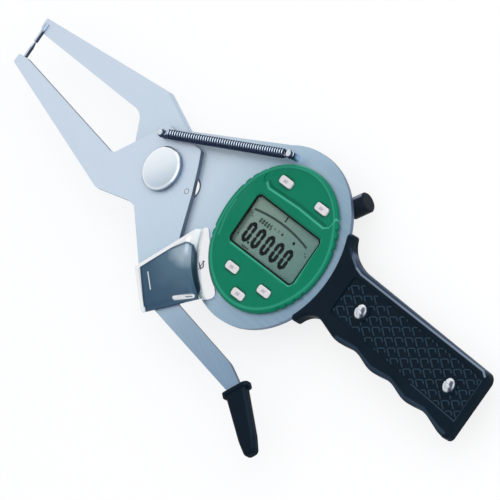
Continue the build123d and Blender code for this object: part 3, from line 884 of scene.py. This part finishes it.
@dataclass(frozen=True)
class WireCoil:
    """A wound wire, whose first and last turn open from a narrower neck to the full radius over neck_turns."""

    radius: float
    wire_radius: float
    sides: int
    steps_per_turn: int
    neck: float = 1.0
    neck_turns: float = 0.6

    def path(self, start: Vector, end: Vector, turns: int) -> list[Vector]:
        """Wind the coil between two drawn points.

        Args:
            start: Where its axis starts.
            end: Where its axis ends.
            turns: Number of turns.

        Returns:
            Points along the middle of the wire.
        """
        axis = (end - start).normalized()
        side, up = Vector((-axis.y, axis.x, 0.0)), Vector(OUT)
        count = turns * self.steps_per_turn
        path = []
        for i in range(count + 1):
            turn = 2 * math.pi * i / self.steps_per_turn
            opened = min(i, count - i) / (self.neck_turns * self.steps_per_turn)
            grown = self.radius * min(1.0, self.neck + (1.0 - self.neck) * opened)
            path.append(start.lerp(end, i / count) + (side * math.cos(turn) + up * math.sin(turn)) * grown)
        return path

    def wind(self, name: str, path: list[Vector]) -> bpy.types.Object:
        """Make the spring along a path.

        Args:
            name: Name of the piece.
            path: Points along the middle of the wire.

        Returns:
            The spring.
        """
        maker = MeshMaker()
        maker.tube(path, self.wire_radius, self.sides)
        return maker.finish(name, SPRING_WIRE, smooth=True)


# Sub-assemblies
@dataclass
class FrameGroup:
    """The plate, its fasteners and the guard."""

    # Painted shade: the plate's tone darkens along plate_shade_fall through plate_shade_tones
    plate_shade_fall: Point3 = (1.0, -0.12, 0.0)
    plate_shade_tones: Stops = (
        (0.0, "#c6d3e3"), (0.56, "#c1d2e1"), (0.68, "#a2bccf"), (0.8, "#88a5ba"), (0.9, "#7b99b0"), (1.0, "#728fa9"),
    )
    # painted shade round the stop hole, and a painted highlight along the plate's wall by the arm
    stop_hole_shade: Ring = Ring((15.6, 0.6), 4.55, 0.5, "#1d2f47")
    plate_edge_highlight: Trace = Trace(((-22.0, 25.8), (-1.7, 18.5)), 1.0, "#b7c8d9", 1.0)
    guard_face: tuple[Point2, ...] = (
        (21.0, -36.0), (28.5, -23.0), (34.2, -16.4), (36.6, -16.2), (56.7, -32.7), (37.0, -49.7),
    )
    guard_glow: Point3 = (35.8, -20.1, 4.6)
    guard_glints: tuple[Trace, ...] = (
        Trace(((26.1, -35.7), (32.5, -40.5)), 0.22, "#f2f6fa"),
        Trace(((45.2, -37.4), (52.4, -32.4)), 0.75, "#f6f9fb"),
        Trace(((49.6, -34.3), (52.0, -32.7)), 0.2, "#5a6c80"),
    )
    guard_screw_mark: Trace = Trace(((42.3, -20.7), (44.9, -22.3), (45.5, -20.9), (43.9, -19.3)), 0.3, "#2c3129", 0.95)
    pin_seat: Trace = Trace(((-98.4, 15.6), (-98.4, 19.0)), 1.6, "#a9bbce", 0.95)
    # painted reflection of the plate on the foot of the plate's spring post
    post_foot_reflection: Foot = Foot(3.1, "#b3c6d8", 1.0)
    # Painted shade and a thin painted highlight across each screw head
    head_shade_and_highlight: tuple[Trace, ...] = (
        Trace(((0.9, 1.4), (1.6, -0.4), (2.4, -1.6)), 1.0, "#1f2547"),
        Trace(((-1.9, 0.1), (-0.5, -1.6)), 0.22, "#8f9fb4"),
    )
    head_radius: float = 3.45

    def dress(self) -> None:
        """Dress every node of the group."""
        plate_marks = (self.stop_hole_shade, self.plate_edge_highlight)
        SatinSheet("satin_plate", self.plate_shade_tones, self.plate_shade_fall, marks=plate_marks).dress("body_plate")
        MirrorSheet("polished_sheet", self.guard_face, self.guard_glow, self.guard_glints).dress("guard_cover")
        low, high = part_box("pivot_cap")
        TurnedCap("turned_cap", (high.x - low.x) / 2 / MM).dress("pivot_cap")
        replace(CONTACT_PIN, name="seated_pin", marks=(self.pin_seat,)).dress("fixed_contact_pin")
        GROUND_PIN.dress("pivot_pin", "pivot_nut", "pivot_washers")
        replace(BRIGHT_POST, name="post_on_plate", marks=(self.post_foot_reflection,)).dress("plate_spring_post")
        self._dress_screws()

    def _dress_screws(self) -> None:
        """Dress the slotted screws of the handle and the guard's screw."""
        marks: list[Mark] = []
        for screw in HANDLE_SCREWS:
            marks += [mark.moved(screw) for mark in self.head_shade_and_highlight]
            # painted shade round the edge of each head
            marks.append(Ring(screw, self.head_radius, 0.6, "#101d2b", 1.0))
        head = BrightSteel("slotted_head", "#e9edf1", "#5f7084", 0.25, marks=tuple(marks))
        head.dress("handle_screws", "handle_nuts")
        marked = BrightSteel(
            "marked_screw", "#e6e9ec", "#2b3a4c", 0.3, shade_range=(0.3, 0.7), marks=(self.guard_screw_mark,)
        )
        marked.dress("guard_screw")


@dataclass
class ArmGroup:
    """The moving arm, its small parts, the lever sleeve and the extension spring; the places at stretch_zone along the
    spring are worked out but not used.
    """

    arm_post: Point3 = (-9.5, 11.4, 4.6)
    plate_post: Point3 = (53.5, 35.7, 4.6)
    coil: WireCoil = WireCoil(1.62, 0.42, 10, 20, neck=0.35)
    pitch: float = 1.24
    hook_radius: float = 1.42
    hook_lead: float = 1.1
    hook_degrees: int = 310
    hook_step: int = 14
    stretch_zone: Point2 = (3.0, 14.0)
    # painted shade ring on the stop pin's end
    stop_pin_shade_ring: Ring = Ring((16.8, -1.2), 1.2, 0.3, "#4d5f78")
    # Painted shade: the arm's tone darkens along its fall through these tones
    arm_shade_tones: Stops = (
        (0.0, "#c7d5e5"), (0.45, "#c5d4e4"), (0.6, "#b9cddd"), (0.7, "#a2b9cc"), (0.81, "#859fb6"), (0.92, "#7793ad"),
        (1.0, "#6f8ca8"),
    )

    def dress(self) -> None:
        """Dress every node of the group."""
        # painted shade on the arm's walls, darker than on the plate
        SatinSheet("satin_arm", self.arm_shade_tones, grain_turn=20.0, edge="#24354e").dress("moving_arm")
        CONTACT_PIN.dress("moving_contact_pin")
        GROUND_PIN.dress("contact_anvil")
        replace(GROUND_PIN, name="stop_pin_end", marks=(self.stop_pin_shade_ring,)).dress("stop_pin")
        BRIGHT_POST.dress("arm_spring_post")
        Moulded("rubber_sleeve", "#081723", "#2b3e4e", 0.5, 0.05, Surface.STIPPLE).dress("lever_grip")

    def _hook(self, post: Vector, towards: float) -> list[Vector]:
        """Most of a turn round a post, from its free end to the side of the coil at an angle in radians."""
        turns = [towards - math.radians(a) for a in range(self.hook_degrees, -1, -self.hook_step)]
        return [post + Vector((math.cos(a), math.sin(a), 0)) * self.hook_radius for a in turns]

    def spring(self) -> bpy.types.Object:
        """Wind the extension spring with its two hooks and hang it between the posts.

        Returns:
            The spring.
        """
        first, last = Vector(self.arm_post), Vector(self.plate_post)
        axis = (last - first).normalized()
        lean = math.atan2(axis.y, axis.x)
        lead = axis * (self.hook_radius + self.hook_lead)
        start, end = first + lead, last - lead
        coil = self.coil.path(start, end, round((end - start).length / self.pitch))
        path = self._hook(first, lean) + coil + list(reversed(self._hook(last, lean + math.pi)))
        spring = self.coil.wind("wound_spring", path)
        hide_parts("extension_spring")
        near, far = (first + axis * reach for reach in self.stretch_zone)
        DATUM.at(*near)
        DATUM.at(*far)
        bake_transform(spring)
        return spring


@dataclass
class IndicatorGroup:
    """The round case behind the plate with its spindle and return spring."""

    spring_start: Point3 = (70.934, 11.747, -6.3)
    spring_end: Point3 = (82.877, 27.035, -6.3)
    coil: WireCoil = WireCoil(2.42, 0.2, 8, 18)
    turns: int = 14
    stub_highlight_side: Point3 = (-0.32, 0.226, 0.92)

    def dress(self) -> None:
        """Dress every node of the group."""
        case = Moulded("grey_case", "#26303a", "#4a5866", 0.45, 0.2, Surface.SPARK)
        case.dress("indicator_case", "back_cover", "scale_carrier")
        Moulded("grey_lid", "#1d262f", "#46535f", 0.4, 0.35, Surface.SPARK).dress("battery_cover")
        # painted highlight along the side of the stub that faces stub_highlight_side
        stub = Moulded(
            "black_stub", "#050f18", "#8f9ab0", 0.35, 0.03, light_side=self.stub_highlight_side, highlight_from=0.9
        )
        stub.dress("spindle_cap")
        BRIGHT_SCREW.dress("case_screws", "back_cover_screws", "battery_cell")
        GROUND_PIN.dress("spindle", "contact_point", "stem")
        BrightSteel("bush_brass", "#d9bf7e", "#8f7436", 0.3).dress("spindle_bushes")
        SPRING_WIRE.dress("return_spring")
        Board("green_board", "#0f5a3c", "#c9a94f").dress("sensor_board", "display_board")
        Board("etched_scale", "#c9d2d8", "#5a6a72").dress("linear_scale")

    def spring(self) -> bpy.types.Object:
        """Wind the spindle's return spring.

        Returns:
            The spring.
        """
        start, end = Vector(self.spring_start), Vector(self.spring_end)
        inset = (end - start).normalized() * self.coil.wire_radius
        spring = self.coil.wind("wound_return_spring", self.coil.path(start + inset, end - inset, self.turns))
        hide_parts("return_spring")
        DATUM.at(*self.spring_start)
        DATUM.at(*self.spring_end)
        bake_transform(spring)
        return spring


class Figure(Enum):
    """The bars of a seven-bar figure that are lit."""

    ZERO = "abcdef"
    FIVE = "afgcd"


# Ends of each bar, in columns and rows from the middle of the figure
BARS = {
    "a": ((-1, 1), (1, 1)), "b": ((1, 1), (1, 0)), "c": ((1, 0), (1, -1)), "d": ((-1, -1), (1, -1)),
    "e": ((-1, 0), (-1, -1)), "f": ((-1, 1), (-1, 0)), "g": ((-1, 0), (1, 0)),
}


@dataclass
class DisplayGroup:
    """The turning head: housing, keys, window and the figures in it, drawn from the centre of the display.

    Dots are a place and a radius; the pointer and the pale bars are a place, a width and a height. The gap, tip and
    shoulder of a figure's bar are shares of its width.
    """

    centre: Point2 = (68.2, 5.0)
    key_places: tuple[Point2, ...] = ((-10.6, 20.9), (13.0, 20.9), (-8.7, -18.9), (1.9, -26.0), (12.4, -18.9))
    # Painted highlights and a painted shade line along the housing's steps, slopes and display frame
    housing_highlights_and_shade: tuple[Trace, ...] = (
        Trace(((-18.4, 17.2), (-15.6, 16.0), (2.4, 17.0), (19.4, 16.6)), 0.6, "#02583f", 0.6),
        Trace(
            ((-19.2, 16.2), (-16.4, 14.7), (2.4, 15.6), (19.1, 15.2), (21.5, 16.8), (22.3, 21.2)), 0.42, "#4fbb9d", 0.75
        ),
        Trace(((-28.0, 3.0), (-27.7, -3.9), (-24.8, -11.6)), 0.5, "#2fa182", 0.6),
        Trace(((22.0, 11.0), (23.4, -8.5), (21.6, -11.0), (-17.0, -11.5)), 0.45, "#3fae90", 0.75),
    )
    rim_highlight_radius: float = 29.7
    key_shade: Trace = Trace(((-1.9, 0.0), (1.9, 0.0)), 2.3, "#013a28", 0.9)
    key_dash: Trace = Trace(((-0.12, -0.4), (0.12, 0.4)), 0.3, "#a297a2", 0.75)
    dash_pitch: float = 0.75
    figure_heights: Point2 = (0.13, 0.18)
    slant: float = 0.055
    bar_gap: float = 0.14
    bar_tip: float = 0.275
    bar_shoulder: float = 0.225
    digit_places: tuple[float, ...] = (-13.45, -7.45, -1.45, 4.6, 10.55)
    digit_foot: float = -8.4
    digit_size: Point2 = (4.5, 9.1)
    digit_stroke: float = 1.75
    small_places: tuple[float, ...] = (-11.9, -10.25, -8.6, -6.95, -5.3)
    small_foot: float = 1.5
    small_size: Point2 = (1.2, 2.3)
    small_stroke: float = 0.58
    dots: tuple[Point3, ...] = ((-10.9, -7.5, 0.55), (1.8, 3.2, 0.55), (9.5, 3.2, 0.7))
    dot_sides: int = 14
    pointer: tuple[float, ...] = (-0.8, 9.0, 0.65, 2.4)
    pale_bars: tuple[tuple[float, ...], ...] = (
        (-3.1, 3.2, 0.9, 0.4), (-0.6, 3.3, 0.35, 1.0), (-18.1, 2.9, 0.9, 0.35), (-17.1, 1.9, 0.9, 0.35),
        (17.3, 2.7, 0.9, 0.35), (18.3, 1.7, 0.9, 0.35), (-18.2, -6.8, 0.9, 0.4), (-12.6, -9.7, 0.7, 0.8),
        (-11.5, -9.7, 0.7, 0.8), (-10.4, -9.7, 0.7, 0.8), (-9.3, -9.7, 0.7, 0.8),
    )
    arc_points: tuple[Point2, ...] = ((-18.0, 4.7), (-0.4, 6.5), (16.5, 4.8))
    arc_half: float = 0.48
    arc_steps: int = 26

    def dress(self) -> None:
        """Dress every node of the group."""
        marks: list[Mark] = [line.moved(self.centre) for line in self.housing_highlights_and_shade]
        # painted highlight round the rim
        marks.append(Ring(self.centre, self.rim_highlight_radius, 0.55, "#3fae93", 0.45))
        marks += [self.key_shade.moved(self._spot(*key)) for key in self.key_places]
        green = Moulded(
            "green_housing", "#02795a", "#57b79f", 0.36, 0.08, Surface.FINE, (-0.55, 0.6, 0.45), 0.6, tuple(marks)
        )
        green.dress("display_housing")
        Moulded("black_trim", "#080c0f", "#1d2429", 0.4, 0.1).dress("lcd_gasket", "retaining_ring", "key_mat")
        dashes = tuple(
            self.key_dash.moved(self._spot(x + self.dash_pitch * k, y)) for x, y in self.key_places for k in (-1, 0, 1)
        )
        keys = [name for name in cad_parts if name.startswith("key_") and name != "key_mat"]
        Moulded("white_key", "#e2dfe2", "#f4f3f4", 0.4, 0.1, marks=dashes).dress(*keys)
        ClearWindow("clear_window").dress("lcd_window")
        DisplayBack("display_back", self.centre).dress("lcd_panel")

    def _spot(self, x: float, y: float) -> Point2:
        """A place on the display, from its centre, as a drawn place."""
        return (self.centre[0] + x, self.centre[1] + y)

    def _solid(self, maker: MeshMaker, outline: list[Point2]) -> None:
        """Add a thin solid over an outline on the display."""
        maker.prism([self._spot(x, y) for x, y in outline], *self.figure_heights)

    def _figure(self, maker: MeshMaker, figure: Figure, middle: Point2, size: Point2, stroke: float) -> None:
        """Add the bars of one figure.

        Args:
            maker: Collects the bars.
            figure: Which bars are lit.
            middle: Middle of the figure.
            size: Its width and height.
            stroke: Width of a bar.
        """
        wide, tall = (size[0] - stroke) / 2, (size[1] - stroke) / 2
        for bar in figure.value:
            start, end = (Vector((column * wide, row * tall)) for column, row in BARS[bar])
            along = (end - start).normalized() * stroke
            across = Vector((-along.y, along.x)) / 2
            start, end = start + along * self.bar_gap, end - along * self.bar_gap
            tip, shoulder = along * self.bar_tip, along * self.bar_shoulder
            corners = (
                start - tip, start + shoulder - across, end - shoulder - across,
                end + tip, end - shoulder + across, start + shoulder + across,
            )
            self._solid(maker, [(middle[0] + c.x + c.y * self.slant, middle[1] + c.y) for c in corners])

    def _dot(self, maker: MeshMaker, x: float, y: float, radius: float) -> None:
        """Add a round dot about a middle."""
        turns = [2 * math.pi * k / self.dot_sides for k in range(self.dot_sides)]
        self._solid(maker, [(x + radius * math.cos(a), y + radius * math.sin(a)) for a in turns])

    def _bar(self, maker: MeshMaker, x: float, y: float, wide: float, tall: float) -> None:
        """Add an upright bar about a middle."""
        corners = ((-0.5, -0.5), (0.5, -0.5), (0.5, 0.5), (-0.5, 0.5))
        self._solid(maker, [(x + a * wide, y + b * tall) for a, b in corners])

    def _arc(self, maker: MeshMaker) -> None:
        """Add the curved bar over the figures, on the parabola through its three points.

        Args:
            maker: Collects its pieces.
        """
        (x0, y0), (x1, y1), (x2, y2) = self.arc_points
        points = []
        for i in range(self.arc_steps + 1):
            x = x0 + (x2 - x0) * i / self.arc_steps
            y = y0 * (x - x1) * (x - x2) / ((x0 - x1) * (x0 - x2))
            y += y1 * (x - x0) * (x - x2) / ((x1 - x0) * (x1 - x2))
            y += y2 * (x - x0) * (x - x1) / ((x2 - x0) * (x2 - x1))
            points.append((x, y))
        half = self.arc_half
        for (xa, ya), (xb, yb) in zip(points, points[1:]):
            self._solid(maker, [(xa, ya - half), (xb, yb - half), (xb, yb + half), (xa, ya + half)])

    def figures(self) -> list[bpy.types.Object]:
        """Make the lit figures, the arc over them and the small marks.

        Returns:
            The dark figures and the paler marks.
        """
        dark = MeshMaker()
        for across in self.digit_places:
            middle = (across, self.digit_foot + self.digit_size[1] / 2)
            self._figure(dark, Figure.ZERO, middle, self.digit_size, self.digit_stroke)
        for dot in self.dots:
            self._dot(dark, *dot)
        self._bar(dark, *self.pointer)
        pale = MeshMaker()
        for across in self.small_places:
            figure = Figure.FIVE if across == self.small_places[-1] else Figure.ZERO
            middle = (across, self.small_foot + self.small_size[1] / 2)
            self._figure(pale, figure, middle, self.small_size, self.small_stroke)
        for bar in self.pale_bars:
            self._bar(pale, *bar)
        self._arc(pale)
        made = [
            dark.finish("display_figures", Ink("figure_ink", "#060c10")),
            pale.finish("display_marks", Ink("pale_ink", "#33433f")),
        ]
        for piece in made:
            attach(piece, "display_head")
        return made


@dataclass
class HandleGroup:
    """The two handle scales and the raised pattern on them.

    The pattern repeats one figure of three ribs along two steps, inside a panel whose corners run clockwise. A rib is
    made where at least least_inside of its samples lie on the panel. The finger ridges fall along the handle.
    """

    # Painted highlights along the back edge, the horn and the end border of the handle
    handle_edge_highlights: tuple[Trace, ...] = (
        Trace(((114.0, 15.9), (118.0, 15.0), (150.0, 14.7), (199.0, 14.3), (201.4, 12.9)), 0.42, "#8593a8"),
        Trace(((102.6, 26.5), (105.5, 22.0), (109.2, 18.3), (114.0, 15.9)), 0.4, "#5a6a7e", 0.7),
        Trace(((201.4, 10.8), (201.4, -8.3), (172.0, -7.1)), 0.25, "#3a4d5f", 0.7),
    )
    ridge_first: float = 125.7
    ridge_pitch: float = 23.5
    ridge_count: int = 4
    valley: float = -10.6
    crest: float = -8.9
    ridge_slope: float = -0.05
    grip_end: Point2 = (200.4, -14.4)
    panel: tuple[Point2, ...] = ((116.1, 12.6), (200.9, 11.5), (200.9, -7.8), (115.7, -4.2))
    pattern_start: Point2 = (146.9, 5.9)
    first_step: Point2 = (4.4, 2.42)
    second_step: Point2 = (-4.21, 2.61)
    rib_shares: Point3 = (0.7, 0.84, 0.42)
    pattern_reach: int = 18
    rib_half: float = 0.32
    rib_taper: float = 0.25
    rib_samples: int = 13
    least_inside: int = 7
    screw_clear: float = 3.9
    front_heights: Point2 = (1.75, 2.1)
    rear_heights: Point2 = (-4.0, -3.75)

    def dress(self) -> None:
        """Dress both scales."""
        grip: list[Point2] = []
        for k in range(self.ridge_count):
            run = k * self.ridge_pitch
            half = run + self.ridge_pitch / 2
            grip.append((self.ridge_first + run, self.valley + self.ridge_slope * run))
            grip.append((self.ridge_first + half, self.crest + self.ridge_slope * half))
        # painted highlight along the wavy lower edge
        under_edge_highlight = Trace((*grip[:-1], self.grip_end), 0.75, "#34465a", 0.6)
        black = Moulded(
            "black_handle", "#061722", "#33445a", 0.45, 0.05, Surface.SPARK, (-0.2, 0.85, 0.5), 0.55,
            (*self.handle_edge_highlights, under_edge_highlight),
        )
        black.dress("handle_front_scale", "handle_rear_scale")

    def _inside(self, x: float, y: float) -> bool:
        """Whether a place lies on the panel and clear of the screws.

        Args:
            x: Drawn place along the handle.
            y: Drawn place across it.

        Returns:
            True where a rib may stand.
        """
        for (ax, ay), (bx, by) in zip(self.panel, self.panel[1:] + self.panel[:1]):
            if (bx - ax) * (y - ay) - (by - ay) * (x - ax) > 0:
                return False
        return all(math.hypot(x - sx, y - sy) > self.screw_clear for sx, sy in HANDLE_SCREWS)

    def _rib(self, maker: MeshMaker, start: Vector, run: Vector, heights: Point2, taper: float) -> None:
        """Add one raised rib, cut off where it leaves the panel.

        Args:
            maker: Collects the ribs.
            start: Its first end.
            run: From its first to its other end.
            heights: Heights of its lower and its upper face.
            taper: How far its upper face shrinks, as a share.
        """
        shares = [k / (self.rib_samples - 1) for k in range(self.rib_samples)]
        kept = [share for share in shares if self._inside(*(start + run * share))]
        if len(kept) < self.least_inside:
            return
        start, end = start + run * kept[0], start + run * kept[-1]
        along = run.normalized()
        across = Vector((-along.y, along.x)) * self.rib_half
        corners = (start - across, end - across, end + across, start + across)
        maker.prism([(c.x, c.y) for c in corners], *heights, taper)

    def pattern(self, name: str, heights: Point2, taper: float) -> bpy.types.Object:
        """Make the angled ribs on one side of the handle.

        Args:
            name: Name of the piece.
            heights: Heights of the lower and the upper faces.
            taper: How far the upper faces shrink, as a share.

        Returns:
            The ribs as one piece.
        """
        maker = MeshMaker()
        first, second = Vector(self.first_step), Vector(self.second_step)
        top, left, right = self.rib_shares
        steps = range(-self.pattern_reach, self.pattern_reach + 1)
        for i in steps:
            for j in steps:
                corner = Vector(self.pattern_start) + first * i + second * j
                self._rib(maker, corner, first * top, heights, taper)
                self._rib(maker, corner, -second * left, heights, taper)
                self._rib(maker, corner + first * top, -second * right, heights, taper)
        # the ribs wear a lighter copy of the handle's black, a painted highlight for light on their edges
        ribs = maker.finish(name, Moulded("black_ribs", "#263a49", "#506577", 0.45, 0.05, Surface.SPARK))
        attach(ribs, "frame")
        return ribs

    def patterns(self) -> None:
        """Make the ribs of both sides; those behind shrink towards the back."""
        self.pattern("front_ribs", self.front_heights, self.rib_taper)
        self.pattern("rear_ribs", self.rear_heights, -self.rib_taper)


# Light, floor and view
@dataclass(frozen=True)
class Lamp:
    """A soft square lamp: its direction from the gauge, distance and side in metres, and power in watts."""

    name: str
    direction: Point3
    reach: float
    size: float
    power: float


@dataclass
class Studio:
    """A pale floor, soft lamps and the camera, with distances in metres; back points from look_at to the camera."""

    look_at: Point3 = (59.99, -4.42, -0.32)
    back: Point3 = (0.668, 0.0645, 0.7414)
    up: Point3 = (-0.4558, 0.823, 0.3391)
    distance: float = 8.222
    lens: float = 1500.0
    clip: Point2 = (1.0, 40.0)
    world_tint: tuple[float, ...] = (0.97, 0.985, 1.0, 1.0)
    world_light: float = 0.66
    floor_lit: tuple[float, ...] = (0.24, 0.24, 0.25, 1.0)
    floor_plain: tuple[float, ...] = (0.8, 0.8, 0.8, 1.0)
    floor_glow: float = 0.78
    floor_half: float = 3.0
    floor_gap: float = 0.0002
    lamp_aim: Point2 = (60.0, 0.0)
    lamps: tuple[Lamp, ...] = (
        Lamp("key_lamp", (0.75, 0.35, 0.6), 0.9, 1.2, 4.4),
        Lamp("rim_lamp", (-0.55, 0.7, 0.5), 0.9, 1.1, 2.0),
    )

    def _floor_material(self) -> bpy.types.Material:
        """Pale where the camera sees it, white in mirrors, and plain to the light that falls on it.

        Returns:
            The material, which keeps the gauge's faint shadow.
        """
        material = bpy.data.materials.new("pale_floor")
        material.use_nodes = True
        nodes = Nodes(material.node_tree)
        lit = nodes.node("ShaderNodeBsdfDiffuse", {}, {"Color": self.floor_lit})
        glow = nodes.node("ShaderNodeEmission", {}, {"Color": WHITE, "Strength": self.floor_glow})
        plain = nodes.node("ShaderNodeBsdfDiffuse", {}, {"Color": self.floor_plain})
        white = nodes.node("ShaderNodeEmission", {}, {"Color": WHITE, "Strength": 1.0})
        seen = nodes.node("ShaderNodeAddShader", {}, {0: lit, 1: glow})
        camera, glossy, through = nodes.rays()
        mirrored = nodes.node("ShaderNodeMixShader", {}, {0: glossy + through, 1: plain, 2: white})
        shown = nodes.node("ShaderNodeMixShader", {}, {0: camera, 1: mirrored, 2: seen})
        nodes.node("ShaderNodeOutputMaterial", {}, {0: shown})
        return material

    def floor(self) -> None:
        """Lay the plain floor under the gauge."""
        maker = bmesh.new()
        bmesh.ops.create_grid(maker, x_segments=1, y_segments=1, size=self.floor_half)
        data = bpy.data.meshes.new("floor")
        maker.to_mesh(data)
        maker.free()
        data.materials.append(self._floor_material())
        floor = bpy.data.objects.new("floor", data)
        floor.location.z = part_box("back_cover")[0].z - self.floor_gap
        bpy.context.scene.collection.objects.link(floor)

    def world(self) -> None:
        """White where it is seen or mirrored, and a plain even light elsewhere."""
        world = bpy.data.worlds.new("studio")
        bpy.context.scene.world = world
        world.use_nodes = True
        nodes = Nodes(world.node_tree)
        camera, glossy, through = nodes.rays()
        light = nodes.node("ShaderNodeBackground", {}, {0: self.world_tint, 1: self.world_light})
        white = nodes.node("ShaderNodeBackground", {}, {0: WHITE, 1: 1.0})
        either = camera.at_least(glossy).at_least(through)
        shown = nodes.node("ShaderNodeMixShader", {}, {0: either, 1: light, 2: white})
        nodes.node("ShaderNodeOutputWorld", {}, {0: shown})

    def hang(self, lamp: Lamp) -> None:
        """Hang a lamp so that it shines at the gauge.

        Args:
            lamp: Which lamp.
        """
        data = bpy.data.lights.new(lamp.name, "AREA")
        data.size = lamp.size
        data.energy = lamp.power
        made = bpy.data.objects.new(lamp.name, data)
        bpy.context.scene.collection.objects.link(made)
        towards = Vector(lamp.direction).normalized()
        made.location = DATUM.at(*self.lamp_aim) + towards * lamp.reach
        made.rotation_euler = towards.to_track_quat("Z", "Y").to_euler()

    def camera(self) -> None:
        """Set the camera at the photograph's viewing angle with a very long lens."""
        back = Vector(self.back).normalized()
        up = Vector(self.up)
        up = (up - back * up.dot(back)).normalized()
        right = up.cross(back)
        data = bpy.data.cameras.new("camera")
        data.lens = self.lens
        data.clip_start, data.clip_end = self.clip
        camera = bpy.data.objects.new("camera", data)
        bpy.context.scene.collection.objects.link(camera)
        turn = Matrix((right, up, back)).transposed().to_4x4()
        camera.matrix_world = Matrix.Translation(DATUM.at(*self.look_at) + back * self.distance) @ turn
        bpy.context.scene.camera = camera

    def build(self) -> None:
        """Set up floor, world, lamps and camera."""
        self.floor()
        self.world()
        for lamp in self.lamps:
            self.hang(lamp)
        self.camera()
        bpy.context.scene.view_settings.view_transform = "Standard"


def main() -> None:
    """Dress and build the gauge, then set up the studio."""
    logging.basicConfig(level=logging.INFO, format="%(name)s %(message)s")
    LOG.info("datum at %s", tuple(round(v, 5) for v in DATUM.origin))
    FrameGroup().dress()
    arm = ArmGroup()
    arm.dress()
    arm.spring()
    indicator = IndicatorGroup()
    indicator.dress()
    indicator.spring()
    display = DisplayGroup()
    display.dress()
    display.figures()
    handle = HandleGroup()
    handle.dress()
    handle.patterns()
    Studio().build()


if __name__ == "__main__":
    main()
